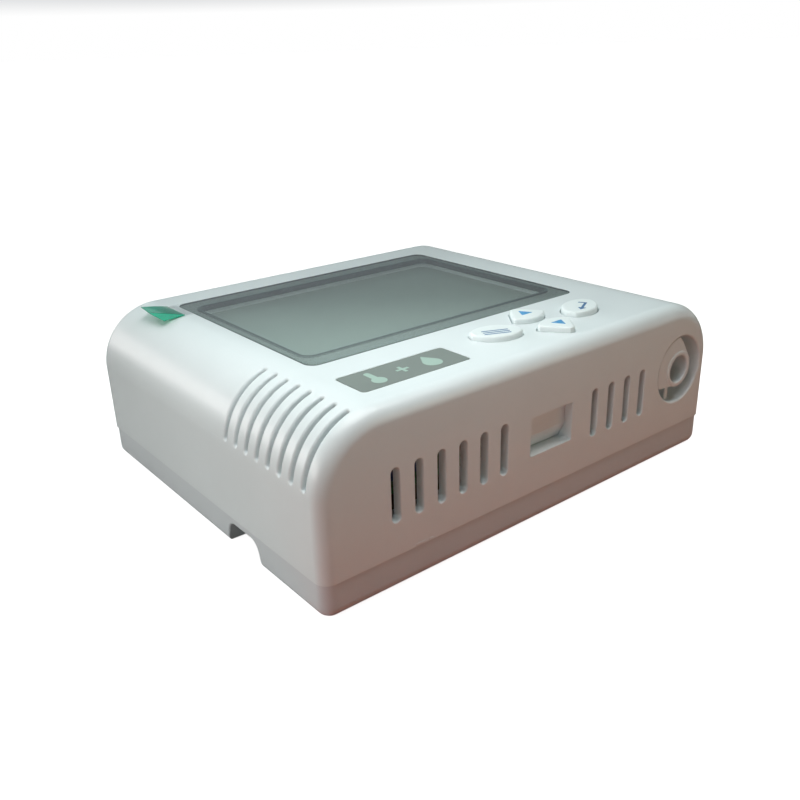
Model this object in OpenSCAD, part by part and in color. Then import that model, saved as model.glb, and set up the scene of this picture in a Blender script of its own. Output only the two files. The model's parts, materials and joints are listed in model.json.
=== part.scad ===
// Wall-mounted air monitor: a two-part plastic case with a display, four keys, air vents,
// a round cable bushing, a blanked port window and a wiring channel in the rear cover.
// Millimetres. The case lies on its rear face: X is its width, Y its height on the wall
// and Z its depth. The origin is the centre of the rear face.

/* [Case] */
// Width of the case
body_w = 120; // [118:1:124]
// Height of the case on the wall
body_h = 100; // [98:1:104]
// Depth of the case from the wall
body_d = 40; // [40:0.5:42]
// Radius of the two long front edges
side_r = 15; // [13:0.5:16]
// Radius of the upright corners and of the rear edge
edge_r = 3; // [2.5:0.1:3.5]
// Wall thickness of both shells
wall = 2.2; // [2:0.1:2.4]
// Depth of the rear cover, up to the seam
split_z = 8; // [7.5:0.1:8.2]
// Inset of the rear cover's sides behind the front shell's
seam_step = 0.25; // [0.1:0.05:0.4]

/* [Display] */
// Width of the display lens
lens_w = 80.4; // [78:0.2:82]
// Height of the display lens
lens_h = 61.9; // [60:0.1:63]
// Thickness of the display lens
lens_t = 1.2; // [1:0.1:1.4]
// Border of the lens that hides the shell at its sides
lens_border_x = 2.3; // [2:0.1:3]
// Border of the lens above and below the display
lens_border_y = 5.3; // [5:0.1:6]

/* [Keys] */
// How far a key stands out of the front face
key_proud = 1.2; // [0.8:0.1:1.5]
// How far a key travels when it is pressed
key_travel = 0.5; // [0.3:0.05:0.6]
// Gap between a key and its opening
key_gap = 0.3; // [0.25:0.05:0.4]

/* [Vents and ports] */
// Distance between the vent slots in the lower end
vent_pitch = 5.78; // [5.6:0.02:5.9]
// Width of a vent slot
vent_w = 2.1; // [1.6:0.1:2.4]
// Distance between the curved vent slots in the side
side_vent_pitch = 4.13; // [4:0.01:4.2]
// Diameter of the round recess in the lower end
recess_d = 17; // [16:0.1:17.4]
// Diameter of the bushing's bore
bushing_bore = 6.8; // [5:0.1:7]

/* [Fasteners] */
// Distance between the two wall screw holes
wall_screw_pitch = 60; // [56:1:64]
// Diameter of the wall screw holes
wall_screw_d = 4.5; // [3.5:0.1:5]
// Diameter of the case screws
case_screw_d = 2.9; // [2.5:0.1:3]

/* [Hidden] */
$fn = 96;
eps = 0.01;
case_white = [0.90, 0.93, 0.93];
board_green = [0.06, 0.33, 0.16];
board_t = 1.6;

// Display
lens_at = [-2.5, 7.45];
lens_corner = 2.5;
adhesive_t = 0.2;
film_t = 0.1;
lens_seat = body_d - lens_t - adhesive_t;
aperture = [lens_w - 2 * lens_border_x, lens_h - 2 * lens_border_y];
aperture_corner = 3;
tab_y = [28.3, 38.6];
tab_x = lens_at[0] - lens_w / 2 - 2.3;
tab_reach = 7;
tab_lift = 1.5;
tab_t = 0.2;

// Inner stack, from the display board up to the display glass
display_board_z = 28;
display_top_z = display_board_z + board_t;
display_board = [92, 91];
lcd_glass_size = [78, 57, 2.4];
lcd_glass_z = body_d - wall - 1 - lcd_glass_size[2];
// Rim under the front wall, round the aperture: its thickness and its height
lcd_rim = [1.2, 0.9];
lcd_pocket = 0.2;
holder_wall = 1.6;
holder_pin_d = 2;
holder_pins = [[-42.5, -21.5], [-42.5, 36.5], [37.5, -21.5], [37.5, 36.5]];
elastomer = [70, 2.4];
elastomer_off = 26.2;
post_d = 5.5;
display_posts = [[-42, 42], [42, 42], [-42, -30], [42, -32]];
small_screw_d = 2.1;
small_head = [4.4, 1.6];
small_screw_len = 6;

// Keys: two leaf shapes at the sides and two shields above and below the pad's centre
pad_at = [12.5, -35.5];
leaf_off = [14, 0.5];
leaf_tilt = 22;
leaf_r = 7.4;
leaf_half = [7, 4.2];
shield_r = 6.7;
shield_arc_off = 1.2;
shield_apex_off = 10.4;
shield_half_angle = 38.8;
shield_half_w = 5.2;
flange_grow = 0.9;
flange_t = 1;
key_under = body_d - wall - 0.3;
stem_d = 4;
plunger_d = 3.4;
switch_size = [6, 6, 3.5];
switch_top = display_top_z + switch_size[2];
plunger_top = switch_top + 1.4;
plunger_len = 2.1;
plunger_fit = 0.1;
key_at = [
  [pad_at[0] - leaf_off[0], pad_at[1] + leaf_off[1]],
  [pad_at[0], pad_at[1] + shield_arc_off + 4.4],
  [pad_at[0], pad_at[1] - shield_arc_off - 4.4],
  [pad_at[0] + leaf_off[0], pad_at[1] + leaf_off[1]]
];

// Nameplate
nameplate_at = [-29.3, -37.2];
nameplate = [27.5, 9.6, 0.5];
nameplate_corner = 1;

// Vents in the lower end and in the left side
vent_x0 = -42.4;
vent_z = [15.5, 27.1];
vent_numbers = [0, 1, 2, 3, 4, 5, 10, 11, 12, 13];
side_vent_y0 = -16.5;
side_vent_count = 8;
side_vent_w = 1.9;
side_vent_angles = [5, 76];

// Port window and its blank
window_x = [-5.6, 7.6];
window_z = [17, 26.1];
window_collar = 1.2;
collar_len = 2.2;
blank_back = 1;
blank_fit = 0.1;
blank_slope = 1.5;
blank_bend_z = 20.6;

// Round recess and the bushing in it
recess_at = [47.8, 23.5];
recess_len = 6;
recess_collar = 1.4;
bushing_od = 9.4;
bushing_in = 12;
bushing_disc_d = 16.6;
bushing_floor = 1.2;
bushing_flange_d = 19;

// Rear cover
floor_t = 2;
lip = [1.2, 2.5];
lip_fit = 0.15;
lip_run = [90, 72];
screw_at = [51, 41];
screw_post_d = 9;
counterbore = [6, 3];
case_head = [5.4, 2];
case_screw_len = 10;
boss_d = 7;
boss_top = 13.2;
channel_y = -19.15;
channel_z = 6.3;
channel_half = [7.4, 3.6];
channel_end_x = -33;
wiring_x = [-33, -4];
wiring_y = [-27, -6];
board_post_d = 6;
wall_screw_y = 8;
wall_boss = [9, 4];

// Main board and its parts
main_z = 15;
main_top = main_z + board_t;
main_board = [-46.5, -40, 93, 83];
main_posts = [[-42, 38], [42, 38], [-42, -35], [42, -35]];
ways = 5;
way_pitch = 5;
terminal = [ways * way_pitch, 9, 9.5];
terminal_at = [-31, -17];
link_at = [20, 22];
link_pins = [8, 2];
link_pitch = 2.54;
pin_w = 0.64;
co2_at = [-8, -27];
co2_board = [36, 22, 1.2];
co2_cell = [28, 17, 6];
header_h = 2.5;
humidity_at = [-33.5, -38];
humidity_board = [12, 1, 9.5];

// A rectangle centred on the origin with round corners
module rounded_rect(size, r) {
  square([size[0] - 2 * r, size[1]], center = true);
  square([size[0], size[1] - 2 * r], center = true);
  for (sx = [-1, 1], sy = [-1, 1])
    translate([sx * (size[0] / 2 - r), sy * (size[1] / 2 - r)]) circle(r);
}

// A slot with round ends, centred on the origin and running along Y
module slot(width, length) {
  square([width, length - width], center = true);
  for (s = [-1, 1]) translate([0, s * (length - width) / 2]) circle(width / 2);
}

// Points of the corner b between a and c, rounded to the radius b[2]
function corner(a, b, c, steps = 6) =
  let (
    u = ([a[0], a[1]] - [b[0], b[1]]) / norm([a[0] - b[0], a[1] - b[1]]),
    v = ([c[0], c[1]] - [b[0], b[1]]) / norm([c[0] - b[0], c[1] - b[1]]),
    half = acos(u * v) / 2,
    centre = [b[0], b[1]] + (u + v) / norm(u + v) * b[2] / sin(half),
    from = [b[0], b[1]] + u * b[2] / tan(half) - centre,
    to = [b[0], b[1]] + v * b[2] / tan(half) - centre,
    start = atan2(from[1], from[0]),
    turn = (atan2(to[1], to[0]) - start + 540) % 360 - 180
  )
  [for (k = [0 : steps]) centre + b[2] * [cos(start + turn * k / steps), sin(start + turn * k / steps)]];

// A closed outline whose corners [x, y, radius] are rounded
function rounded_outline(points) =
  [for (i = [0 : len(points) - 1])
    each corner(points[(i + len(points) - 1) % len(points)], points[i], points[(i + 1) % len(points)])];

// Cross-section of the case seen along Y, its surface moved in by inset
module case_profile(inset) {
  half = body_w / 2;
  translate([inset - half, 0]) square([body_w - 2 * inset, body_d - side_r]);
  translate([side_r - half, 0]) square([body_w - 2 * side_r, body_d - inset]);
  for (s = [-1, 1]) translate([s * (half - side_r), body_d - side_r]) circle(side_r - inset);
}

// The whole outer form between two heights, its surface moved in by inset
module case_form(inset, z0, z1) {
  intersection() {
    rotate([90, 0, 0])
      linear_extrude(body_h - 2 * inset, center = true) case_profile(inset);
    translate([0, 0, z0])
      linear_extrude(z1 - z0)
        rounded_rect([body_w - 2 * inset, body_h - 2 * inset], max(edge_r - inset, 0.8));
  }
}

// Outline of a side key: two arcs that meet at blunt tips
module leaf_outline(grow) {
  intersection() {
    arc_off = leaf_r - leaf_half[1];
    translate([0, arc_off]) circle(leaf_r + grow);
    translate([0, -arc_off]) circle(leaf_r + grow);
    square([2 * (leaf_half[0] - 1 + grow), 4 * leaf_r], center = true);
  }
}

// Outline of an upper key: an arc below and two sides that lean to a blunt apex
module shield_outline(grow) {
  apex = shield_apex_off - shield_arc_off + grow / sin(shield_half_angle);
  blunt = 0.9;
  run = 2 * shield_r;
  intersection() {
    translate([0, shield_r]) circle(shield_r + grow);
    polygon([
      [0, apex],
      [-run * tan(shield_half_angle), apex - run],
      [run * tan(shield_half_angle), apex - run]
    ]);
    translate([-shield_half_w - grow, -grow])
      square([2 * (shield_half_w + grow), shield_apex_off - shield_arc_off - blunt + 2 * grow]);
  }
}

// Outline of each key in place, numbered 0 to 3: menu, up, down, enter
module key_outline(number, grow) {
  if (number == 0)
    translate(key_at[0]) rotate(-leaf_tilt) leaf_outline(grow);
  if (number == 1)
    translate([pad_at[0], pad_at[1] + shield_arc_off]) shield_outline(grow);
  if (number == 2)
    translate([pad_at[0], pad_at[1] - shield_arc_off]) mirror([0, 1]) shield_outline(grow);
  if (number == 3)
    translate(key_at[3]) rotate(leaf_tilt) leaf_outline(grow);
}

// One vent slot through the wall of the lower end
module end_vent(x) {
  translate([x, -body_h / 2 + wall + 1, (vent_z[0] + vent_z[1]) / 2])
    rotate([90, 0, 0])
      linear_extrude(wall + 2) slot(vent_w, vent_z[1] - vent_z[0]);
}

// One curved vent slot through the left long edge, as a ring sector
module side_vent(y) {
  translate([side_r - body_w / 2, y, body_d - side_r])
    rotate([90, 0, 0])
      translate([0, 0, -side_vent_w / 2])
        rotate([0, 0, 180 - side_vent_angles[1]])
          rotate_extrude(angle = side_vent_angles[1] - side_vent_angles[0])
            translate([side_r - wall - 0.6, 0]) square([wall + 2, side_vent_w]);
}

module window_cut(grow, y0, y1) {
  translate([window_x[0] - grow, y0, window_z[0] - grow])
    cube([window_x[1] - window_x[0] + 2 * grow, y1 - y0, window_z[1] - window_z[0] + 2 * grow]);
}

// A cylinder along +Y from y0 to y1, centred on the round recess
module recess_cylinder(d, y0, y1) {
  translate([recess_at[0], y1, recess_at[1]]) rotate([90, 0, 0]) cylinder(d = d, h = y1 - y0);
}

module corner_bosses() {
  for (sx = [-1, 1], sy = [-1, 1])
    translate([0, 0, split_z + 0.1]) {
      translate([sx * screw_at[0], sy * screw_at[1], 0]) cylinder(d = boss_d, h = boss_top - split_z - 0.1);
      translate([sx * (screw_at[0] + 3.7) - 3.7, sy * (screw_at[1] + 3.7) - 3.7, 0])
        cube([7.4, 7.4, boss_top - split_z - 0.1]);
    }
}

module front_shell() {
  inner_y = -body_h / 2 + wall;
  color(case_white)
  difference() {
    union() {
      difference() {
        case_form(0, split_z, body_d);
        case_form(wall, split_z - 1, body_d);
      }
      intersection() {
        corner_bosses();
        case_form(wall / 2, split_z, body_d);
      }
      for (p = display_posts)
        translate([p[0], p[1], display_top_z]) cylinder(d = post_d, h = body_d - wall / 2 - display_top_z);
      translate([lens_at[0], lens_at[1], body_d - wall - lcd_rim[1]])
        linear_extrude(lcd_rim[1] + 0.5)
          rounded_rect([aperture[0] + 2 * lcd_rim[0], aperture[1] + 2 * lcd_rim[0]], aperture_corner + lcd_rim[0]);
      window_cut(window_collar, inner_y - eps, inner_y + collar_len);
      recess_cylinder(recess_d + 2 * recess_collar, inner_y - eps, inner_y + recess_len);
    }
    for (sx = [-1, 1], sy = [-1, 1])
      translate([sx * screw_at[0], sy * screw_at[1], split_z])
        cylinder(d = case_screw_d + 0.1, h = boss_top - split_z - 0.4);
    for (p = display_posts)
      translate([p[0], p[1], display_top_z - eps]) cylinder(d = small_screw_d + 0.1, h = 6.5);
    translate([lens_at[0], lens_at[1], lens_seat])
      linear_extrude(lens_t + 1) rounded_rect([lens_w + 0.3, lens_h + 0.3], lens_corner);
    translate([lens_at[0], lens_at[1], body_d - wall - lcd_rim[1] - 1])
      linear_extrude(wall + 3) rounded_rect(aperture, aperture_corner);
    translate([nameplate_at[0], nameplate_at[1], body_d - nameplate[2]])
      linear_extrude(1) rounded_rect([nameplate[0] + 0.2, nameplate[1] + 0.2], nameplate_corner);
    for (k = [0 : 3])
      translate([0, 0, body_d - wall - 1]) linear_extrude(wall + 2) key_outline(k, key_gap);
    for (n = vent_numbers) end_vent(vent_x0 + n * vent_pitch);
    for (n = [0 : side_vent_count - 1]) side_vent(side_vent_y0 - n * side_vent_pitch);
    window_cut(0, -body_h / 2 - 1, inner_y + collar_len + 1);
    recess_cylinder(recess_d, -body_h / 2 - 1, inner_y + recess_len + 1);
  }
}

// Cross-section of the wiring channel, seen along X, with round shoulders
module channel_section() {
  polygon(rounded_outline([
    [-channel_half[0], -1, 0.01],
    [channel_half[0], -1, 0.01],
    [channel_half[0] - 0.8, 1.4, 2.5],
    [channel_half[1] + 0.8, channel_z, 2.2],
    [-channel_half[1] - 0.8, channel_z, 2.2],
    [-channel_half[0] + 0.8, 1.4, 2.5]
  ]));
}

// The tray's outer form, with round upright corners and a round rear edge
module tray_form(w, h, r) {
  translate([0, 0, r]) linear_extrude(split_z - r) rounded_rect([w, h], r);
  translate([0, 0, split_z / 2]) cube([w - 2 * r, h - 2 * r, split_z], center = true);
  for (s = [-1, 1]) {
    translate([s * (w / 2 - r), 0, r]) rotate([90, 0, 0]) cylinder(r = r, h = h - 2 * r, center = true);
    translate([0, s * (h / 2 - r), r]) rotate([0, 90, 0]) cylinder(r = r, h = w - 2 * r, center = true);
    for (t = [-1, 1]) translate([s * (w / 2 - r), t * (h / 2 - r), r]) sphere(r);
  }
}

// Four tongues that stand inside the front shell's walls
module lip_tongues() {
  reach = lip[1];
  for (s = [-1, 1]) {
    translate([-lip_run[0] / 2, s * (body_h / 2 - wall - lip_fit - lip[0] / 2) - lip[0] / 2, split_z - 1])
      cube([lip_run[0], lip[0], reach + 1]);
    translate([s * (body_w / 2 - wall - lip_fit - lip[0] / 2) - lip[0] / 2, -lip_run[1] / 2, split_z - 1])
      cube([lip[0], lip_run[1], reach + 1]);
  }
}

module rear_cover() {
  w = body_w - 2 * seam_step;
  h = body_h - 2 * seam_step;
  thick = wall - seam_step + lip_fit + lip[0];
  color(case_white)
  difference() {
    union() {
      difference() {
        tray_form(w, h, edge_r);
        translate([0, 0, floor_t])
          linear_extrude(split_z) rounded_rect([w - 2 * thick, h - 2 * thick], 1.5);
      }
      lip_tongues();
      for (sx = [-1, 1], sy = [-1, 1])
        translate([sx * screw_at[0], sy * screw_at[1], 1]) cylinder(d = screw_post_d, h = split_z - 1);
      for (p = main_posts) translate([p[0], p[1], 1]) cylinder(d = board_post_d, h = main_z - 1);
      for (s = [-1, 1])
        translate([s * wall_screw_pitch / 2, wall_screw_y, 1]) cylinder(d = wall_boss[0], h = wall_boss[1] - 1);
      translate([-w / 2 + wall, channel_y - channel_half[0] - 1.6, 1])
        cube([channel_end_x + w / 2 - wall + 1.6, 2 * channel_half[0] + 3.2, split_z - 1.1]);
    }
    for (sx = [-1, 1], sy = [-1, 1])
      translate([sx * screw_at[0], sy * screw_at[1], -1]) {
        cylinder(d = counterbore[0], h = counterbore[1] + 1);
        cylinder(d = case_screw_d + 0.5, h = split_z + 2);
      }
    for (p = main_posts)
      translate([p[0], p[1], main_z - small_screw_len + 1]) cylinder(d = small_screw_d + 0.1, h = small_screw_len);
    for (s = [-1, 1])
      translate([s * wall_screw_pitch / 2, wall_screw_y, -1]) cylinder(d = wall_screw_d, h = wall_boss[1] + 2);
    translate([-body_w / 2 - 1, channel_y, 0])
      rotate([90, 0, 90]) linear_extrude(channel_end_x + body_w / 2 + 1.1) channel_section();
    translate([wiring_x[0], wiring_y[0], -1])
      cube([wiring_x[1] - wiring_x[0], wiring_y[1] - wiring_y[0], split_z + 2]);
  }
}

module display_lens() {
  color([0.55, 0.60, 0.58, 0.5])
    translate([lens_at[0], lens_at[1], lens_seat + adhesive_t])
      linear_extrude(lens_t) rounded_rect([lens_w, lens_h], lens_corner);
}

module lens_adhesive() {
  color([0.2, 0.2, 0.2])
    translate([lens_at[0], lens_at[1], lens_seat])
      linear_extrude(adhesive_t)
        difference() {
          rounded_rect([lens_w - 0.6, lens_h - 0.6], lens_corner);
          rounded_rect([aperture[0] + 0.8, aperture[1] + 0.8], aperture_corner);
        }
}

// Clear film on the lens, with an ear that reaches the pull tab
module lens_film() {
  color([0.8, 0.9, 0.9, 0.3])
    translate([0, 0, body_d])
      linear_extrude(film_t) {
        translate(lens_at) rounded_rect([lens_w - 0.4, lens_h - 0.4], lens_corner);
        translate([tab_x, tab_y[0]]) square([4, tab_y[1] - tab_y[0]]);
      }
}

// Pull tab stuck on the film's ear; its free end stands off the rounded edge
module film_tab() {
  z = body_d + film_t;
  color([0, 0.62, 0.46, 0.8])
    translate([0, tab_y[1], 0])
      rotate([90, 0, 0])
        linear_extrude(tab_y[1] - tab_y[0])
          polygon([
            [tab_x + 1, z], [tab_x + 1, z + tab_t], [tab_x, z + tab_t],
            [tab_x - tab_reach, z + tab_lift + tab_t], [tab_x - tab_reach, z + tab_lift], [tab_x, z]
          ]);
}

module nameplate() {
  color([0.50, 0.56, 0.55])
    translate([nameplate_at[0], nameplate_at[1], body_d - nameplate[2]])
      linear_extrude(nameplate[2]) rounded_rect([nameplate[0], nameplate[1]], nameplate_corner);
}

// A key: the visible cap, a flange under the front wall and a stem to its switch
module key(number) {
  color(case_white) {
    translate([0, 0, key_under - eps])
      linear_extrude(body_d + key_proud - key_under + eps) key_outline(number, 0);
    translate([0, 0, key_under - flange_t]) linear_extrude(flange_t) key_outline(number, flange_grow);
    translate([key_at[number][0], key_at[number][1], plunger_top])
      cylinder(d = stem_d, h = key_under - flange_t - plunger_top + eps);
  }
}

module switch_plunger(number) {
  color([0.12, 0.12, 0.12])
    translate([key_at[number][0], key_at[number][1], plunger_top - plunger_len])
      cylinder(d = plunger_d, h = plunger_len);
}

// Housing of a push switch with the plunger's bore
module switch_housing(number) {
  depth = plunger_top - plunger_len - key_travel - 0.3;
  color([0.25, 0.25, 0.27])
    translate([key_at[number][0], key_at[number][1], 0])
      difference() {
        translate([-switch_size[0] / 2, -switch_size[1] / 2, display_top_z]) cube(switch_size);
        translate([0, 0, depth]) cylinder(d = plunger_d + plunger_fit, h = 10);
      }
}

// Blank behind the port window: an upright face that leans back at its foot
module port_blank() {
  inner_y = -body_h / 2 + wall;
  front = inner_y - 0.1;
  back = inner_y + collar_len;
  top = window_z[1] - blank_fit;
  foot = window_z[0] + blank_fit;
  color(case_white) {
    translate([window_x[0] + blank_fit, 0, 0])
      rotate([90, 0, 90])
        linear_extrude(window_x[1] - window_x[0] - 2 * blank_fit)
          polygon([
            [front, top], [front, blank_bend_z], [front + blank_slope, foot],
            [back + eps, foot], [back + eps, top]
          ]);
    window_cut(window_collar, back, back + blank_back);
  }
}

// Bushing: a tube in the round recess, with a face disc on one side of the tube,
// a rib under that disc, a floor with a crescent gap and a flange behind the collar
module cable_bushing() {
  face_y = -body_h / 2 + 0.3;
  back_y = -body_h / 2 + wall + recess_len;
  tube_end = face_y + bushing_in;
  cx = recess_at[0];
  cz = recess_at[1];
  r = bushing_disc_d / 2;
  color(case_white)
  difference() {
    union() {
      recess_cylinder(bushing_od, face_y - 0.2, tube_end);
      recess_cylinder(recess_d - 0.2, back_y - bushing_floor, back_y + eps);
      recess_cylinder(bushing_flange_d, back_y, back_y + 1);
      intersection() {
        recess_cylinder(bushing_disc_d, face_y, face_y + 1.2);
        translate([0, face_y + 1.3, 0])
          rotate([90, 0, 0])
            linear_extrude(2)
              polygon([
                [cx - 1.2, cz + r + 1], [cx + 1.1, cz + r - 1.5], [cx + bushing_od / 2, cz + 1.5],
                [cx + bushing_od / 2 - 1, cz - 1], [cx + 1.5, cz - 4.4], [cx - r - 1, cz - 3.4],
                [cx - r - 1, cz + r + 1]
              ]);
      }
      translate([cx - 3.4, face_y + 1, cz - 7.6]) cube([1.2, back_y - face_y - 1.2, 4.5]);
    }
    recess_cylinder(bushing_bore, face_y - 1, tube_end + 1);
    translate([cx - 1.6, back_y - 3, cz - 7.4]) cube([3.2, 6, 2.2]);
  }
}

module lcd_glass() {
  color([0.52, 0.57, 0.53])
    translate([lens_at[0], lens_at[1], lcd_glass_z + lcd_glass_size[2] / 2]) cube(lcd_glass_size, center = true);
}

module lcd_backlight() {
  foot = display_top_z + 0.8;
  color([0.92, 0.94, 0.90])
    translate([lens_at[0] - 36, lens_at[1] - 23.5, foot]) cube([72, 47, lcd_glass_z - foot]);
}

module elastomer_strip(side) {
  color([0.85, 0.45, 0.55])
    translate([
      lens_at[0] - elastomer[0] / 2, lens_at[1] + side * elastomer_off - elastomer[1] / 2, display_top_z
    ])
      cube([elastomer[0], elastomer[1], lcd_glass_z - display_top_z]);
}

// Frame that holds the display glass on its board by four pins
module lcd_holder() {
  size = [lcd_glass_size[0] + 2 * lcd_pocket, lcd_glass_size[1] + 2 * lcd_pocket];
  color([0.20, 0.21, 0.22]) {
    translate([lens_at[0], lens_at[1], display_top_z])
      linear_extrude(lcd_glass_z + lcd_glass_size[2] - 0.1 - display_top_z)
        difference() {
          rounded_rect([size[0] + 2 * holder_wall, size[1] + 2 * holder_wall], 1.5);
          square(size, center = true);
        }
    for (p = holder_pins)
      translate([p[0], p[1], display_board_z - 0.6]) cylinder(d = holder_pin_d, h = board_t + 0.6 + eps);
  }
}

module display_board() {
  color(board_green)
  difference() {
    translate([-display_board[0] / 2, -display_board[1] / 2, display_board_z])
      cube([display_board[0], display_board[1], board_t]);
    translate([37.5, -body_h / 2, display_board_z - 1]) cube([20, 13, board_t + 2]);
    for (p = holder_pins)
      translate([p[0], p[1], display_board_z - 1]) cylinder(d = holder_pin_d + 0.2, h = board_t + 2);
    for (p = display_posts)
      translate([p[0], p[1], display_board_z - 1]) cylinder(d = small_screw_d + 0.6, h = board_t + 2);
  }
}

// Centre of each pin of the link between the two boards
function link_pin(i, j) = [
  link_at[0] + (i - (link_pins[0] - 1) / 2) * link_pitch,
  link_at[1] + (j - (link_pins[1] - 1) / 2) * link_pitch
];

module board_header() {
  size = [link_pins[0] * link_pitch, link_pins[1] * link_pitch];
  color([0.1, 0.1, 0.1])
    translate([link_at[0] - size[0] / 2, link_at[1] - size[1] / 2, main_top]) cube([size[0], size[1], header_h]);
  color([0.8, 0.7, 0.4])
    for (i = [0 : link_pins[0] - 1], j = [0 : link_pins[1] - 1])
      translate([link_pin(i, j)[0] - pin_w / 2, link_pin(i, j)[1] - pin_w / 2, main_top + header_h - eps])
        cube([pin_w, pin_w, 6]);
}

module board_socket() {
  size = [link_pins[0] * link_pitch + 0.6, link_pins[1] * link_pitch + 0.2];
  foot = main_top + header_h + 0.4;
  hole = pin_w + 0.2;
  color([0.1, 0.1, 0.1])
  difference() {
    translate([link_at[0] - size[0] / 2, link_at[1] - size[1] / 2, foot])
      cube([size[0], size[1], display_board_z - foot]);
    for (i = [0 : link_pins[0] - 1], j = [0 : link_pins[1] - 1])
      translate([link_pin(i, j)[0] - hole / 2, link_pin(i, j)[1] - hole / 2, foot - 1]) cube([hole, hole, 7.5]);
  }
}

module main_board() {
  color(board_green)
  difference() {
    translate([main_board[0], main_board[1], main_z]) cube([main_board[2], main_board[3], board_t]);
    for (p = main_posts)
      translate([p[0], p[1], main_z - 1]) cylinder(d = small_screw_d + 0.6, h = board_t + 2);
  }
}

// Centre of each way of the terminal block
function way_x(i) = terminal_at[0] + (i + 0.5) * way_pitch;

module terminal_block() {
  foot = main_z - terminal[2];
  color([0.10, 0.42, 0.22])
  difference() {
    translate([terminal_at[0], terminal_at[1], foot]) cube(terminal);
    for (i = [0 : ways - 1]) {
      translate([way_x(i), terminal_at[1] + terminal[1] / 2, foot - 1]) cylinder(d = 3.8, h = 4);
      translate([way_x(i) - 1.6, terminal_at[1] - 1, foot + 4.2]) cube([3.2, 5.5, 3.2]);
    }
  }
}

module terminal_screws() {
  foot = main_z - terminal[2] + 1.2;
  color([0.7, 0.7, 0.7])
  for (i = [0 : ways - 1])
    translate([way_x(i), terminal_at[1] + terminal[1] / 2, foot])
      difference() {
        cylinder(d = 3.4, h = 1.8);
        translate([-2, -0.35, -1]) cube([4, 0.7, 1.7]);
      }
}

module co2_headers() {
  color([0.1, 0.1, 0.1])
  for (s = [-1, 1])
    translate([co2_at[0] - 10, co2_at[1] + s * 9 - 1.2, main_top]) cube([20, 2.4, header_h]);
}

module co2_board() {
  color([0.05, 0.20, 0.45])
    translate([co2_at[0], co2_at[1], main_top + header_h + co2_board[2] / 2]) cube(co2_board, center = true);
}

module co2_cell() {
  foot = main_top + header_h + co2_board[2];
  color([0.80, 0.66, 0.30])
  difference() {
    translate([co2_at[0], co2_at[1], foot]) linear_extrude(co2_cell[2]) rounded_rect([co2_cell[0], co2_cell[1]], 4);
    translate([co2_at[0], co2_at[1], foot + co2_cell[2] - 0.4])
      linear_extrude(1) rounded_rect([18.2, 6.2], 3);
  }
}

module co2_filter() {
  foot = main_top + header_h + co2_board[2] + co2_cell[2] - 0.4;
  color([0.95, 0.95, 0.93])
    translate([co2_at[0], co2_at[1], foot]) linear_extrude(0.4) rounded_rect([18, 6], 2.9);
}

module humidity_board() {
  color([0.05, 0.20, 0.45])
    translate([humidity_at[0] - humidity_board[0] / 2, humidity_at[1], main_top]) cube(humidity_board);
}

module humidity_sensor() {
  size = [4, 1.4, 4];
  color([0.95, 0.95, 0.95])
  difference() {
    translate([humidity_at[0] - size[0] / 2, humidity_at[1] - size[1], main_top + 4]) cube(size);
    translate([humidity_at[0], humidity_at[1] - 1, main_top + 6]) rotate([90, 0, 0]) cylinder(d = 1.6, h = 2);
  }
}

module processor() {
  color([0.08, 0.08, 0.08])
    translate([-6, -2, main_top]) cube([12, 12, 1.4]);
}

module buzzer() {
  color([0.08, 0.08, 0.08])
    translate([32, -8, main_top])
      difference() {
        cylinder(d = 12, h = 8.5);
        translate([0, 0, 6]) cylinder(d = 2.2, h = 4);
      }
}

module power_inductor() {
  color([0.25, 0.25, 0.26])
    translate([-30, 24, main_top]) linear_extrude(6) rounded_rect([12, 12], 2.5);
}

module capacitor(y) {
  color([0.15, 0.16, 0.30])
    translate([-38, y, main_top]) cylinder(d = 8, h = 10.5);
}

// A pan-head screw with a cross recess; its head is up and starts at z = 0
module pan_screw(head, shank_d, length) {
  translate([0, 0, -length]) cylinder(d = shank_d, h = length + eps);
  difference() {
    cylinder(d = head[0], h = head[1]);
    for (a = [0, 90]) rotate(a) translate([-head[0] * 0.3, -0.35, head[1] / 2]) cube([head[0] * 0.6, 0.7, head[1]]);
  }
}

module case_screws() {
  color([0.55, 0.55, 0.56])
  for (sx = [-1, 1], sy = [-1, 1])
    translate([sx * screw_at[0], sy * screw_at[1], counterbore[1]])
      mirror([0, 0, 1]) pan_screw(case_head, case_screw_d, case_screw_len - 0.6);
}

module display_screws() {
  color([0.6, 0.6, 0.6])
  for (p = display_posts)
    translate([p[0], p[1], display_board_z]) mirror([0, 0, 1]) pan_screw(small_head, small_screw_d, small_screw_len);
}

module board_screws() {
  color([0.6, 0.6, 0.6])
  for (p = main_posts)
    translate([p[0], p[1], main_top]) pan_screw(small_head, small_screw_d, small_screw_len);
}

front_shell();
rear_cover();
display_lens();
lens_adhesive();
lens_film();
film_tab();
nameplate();
key(0);  // menu_key
key(1);  // up_key
key(2);  // down_key
key(3);  // enter_key
switch_plunger(0);  // menu_plunger
switch_plunger(1);  // up_plunger
switch_plunger(2);  // down_plunger
switch_plunger(3);  // enter_plunger
switch_housing(0);  // menu_switch
switch_housing(1);  // up_switch
switch_housing(2);  // down_switch
switch_housing(3);  // enter_switch
port_blank();
cable_bushing();
lcd_glass();
lcd_backlight();
lcd_holder();
elastomer_strip(1);  // elastomer_upper
elastomer_strip(-1);  // elastomer_lower
display_board();
board_header();
board_socket();
main_board();
terminal_block();
terminal_screws();
co2_headers();
co2_board();
co2_cell();
co2_filter();
humidity_board();
humidity_sensor();
processor();
buzzer();
power_inductor();
capacitor(10);  // capacitor_upper
capacitor(0);  // capacitor_lower
case_screws();
display_screws();
board_screws();
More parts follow.
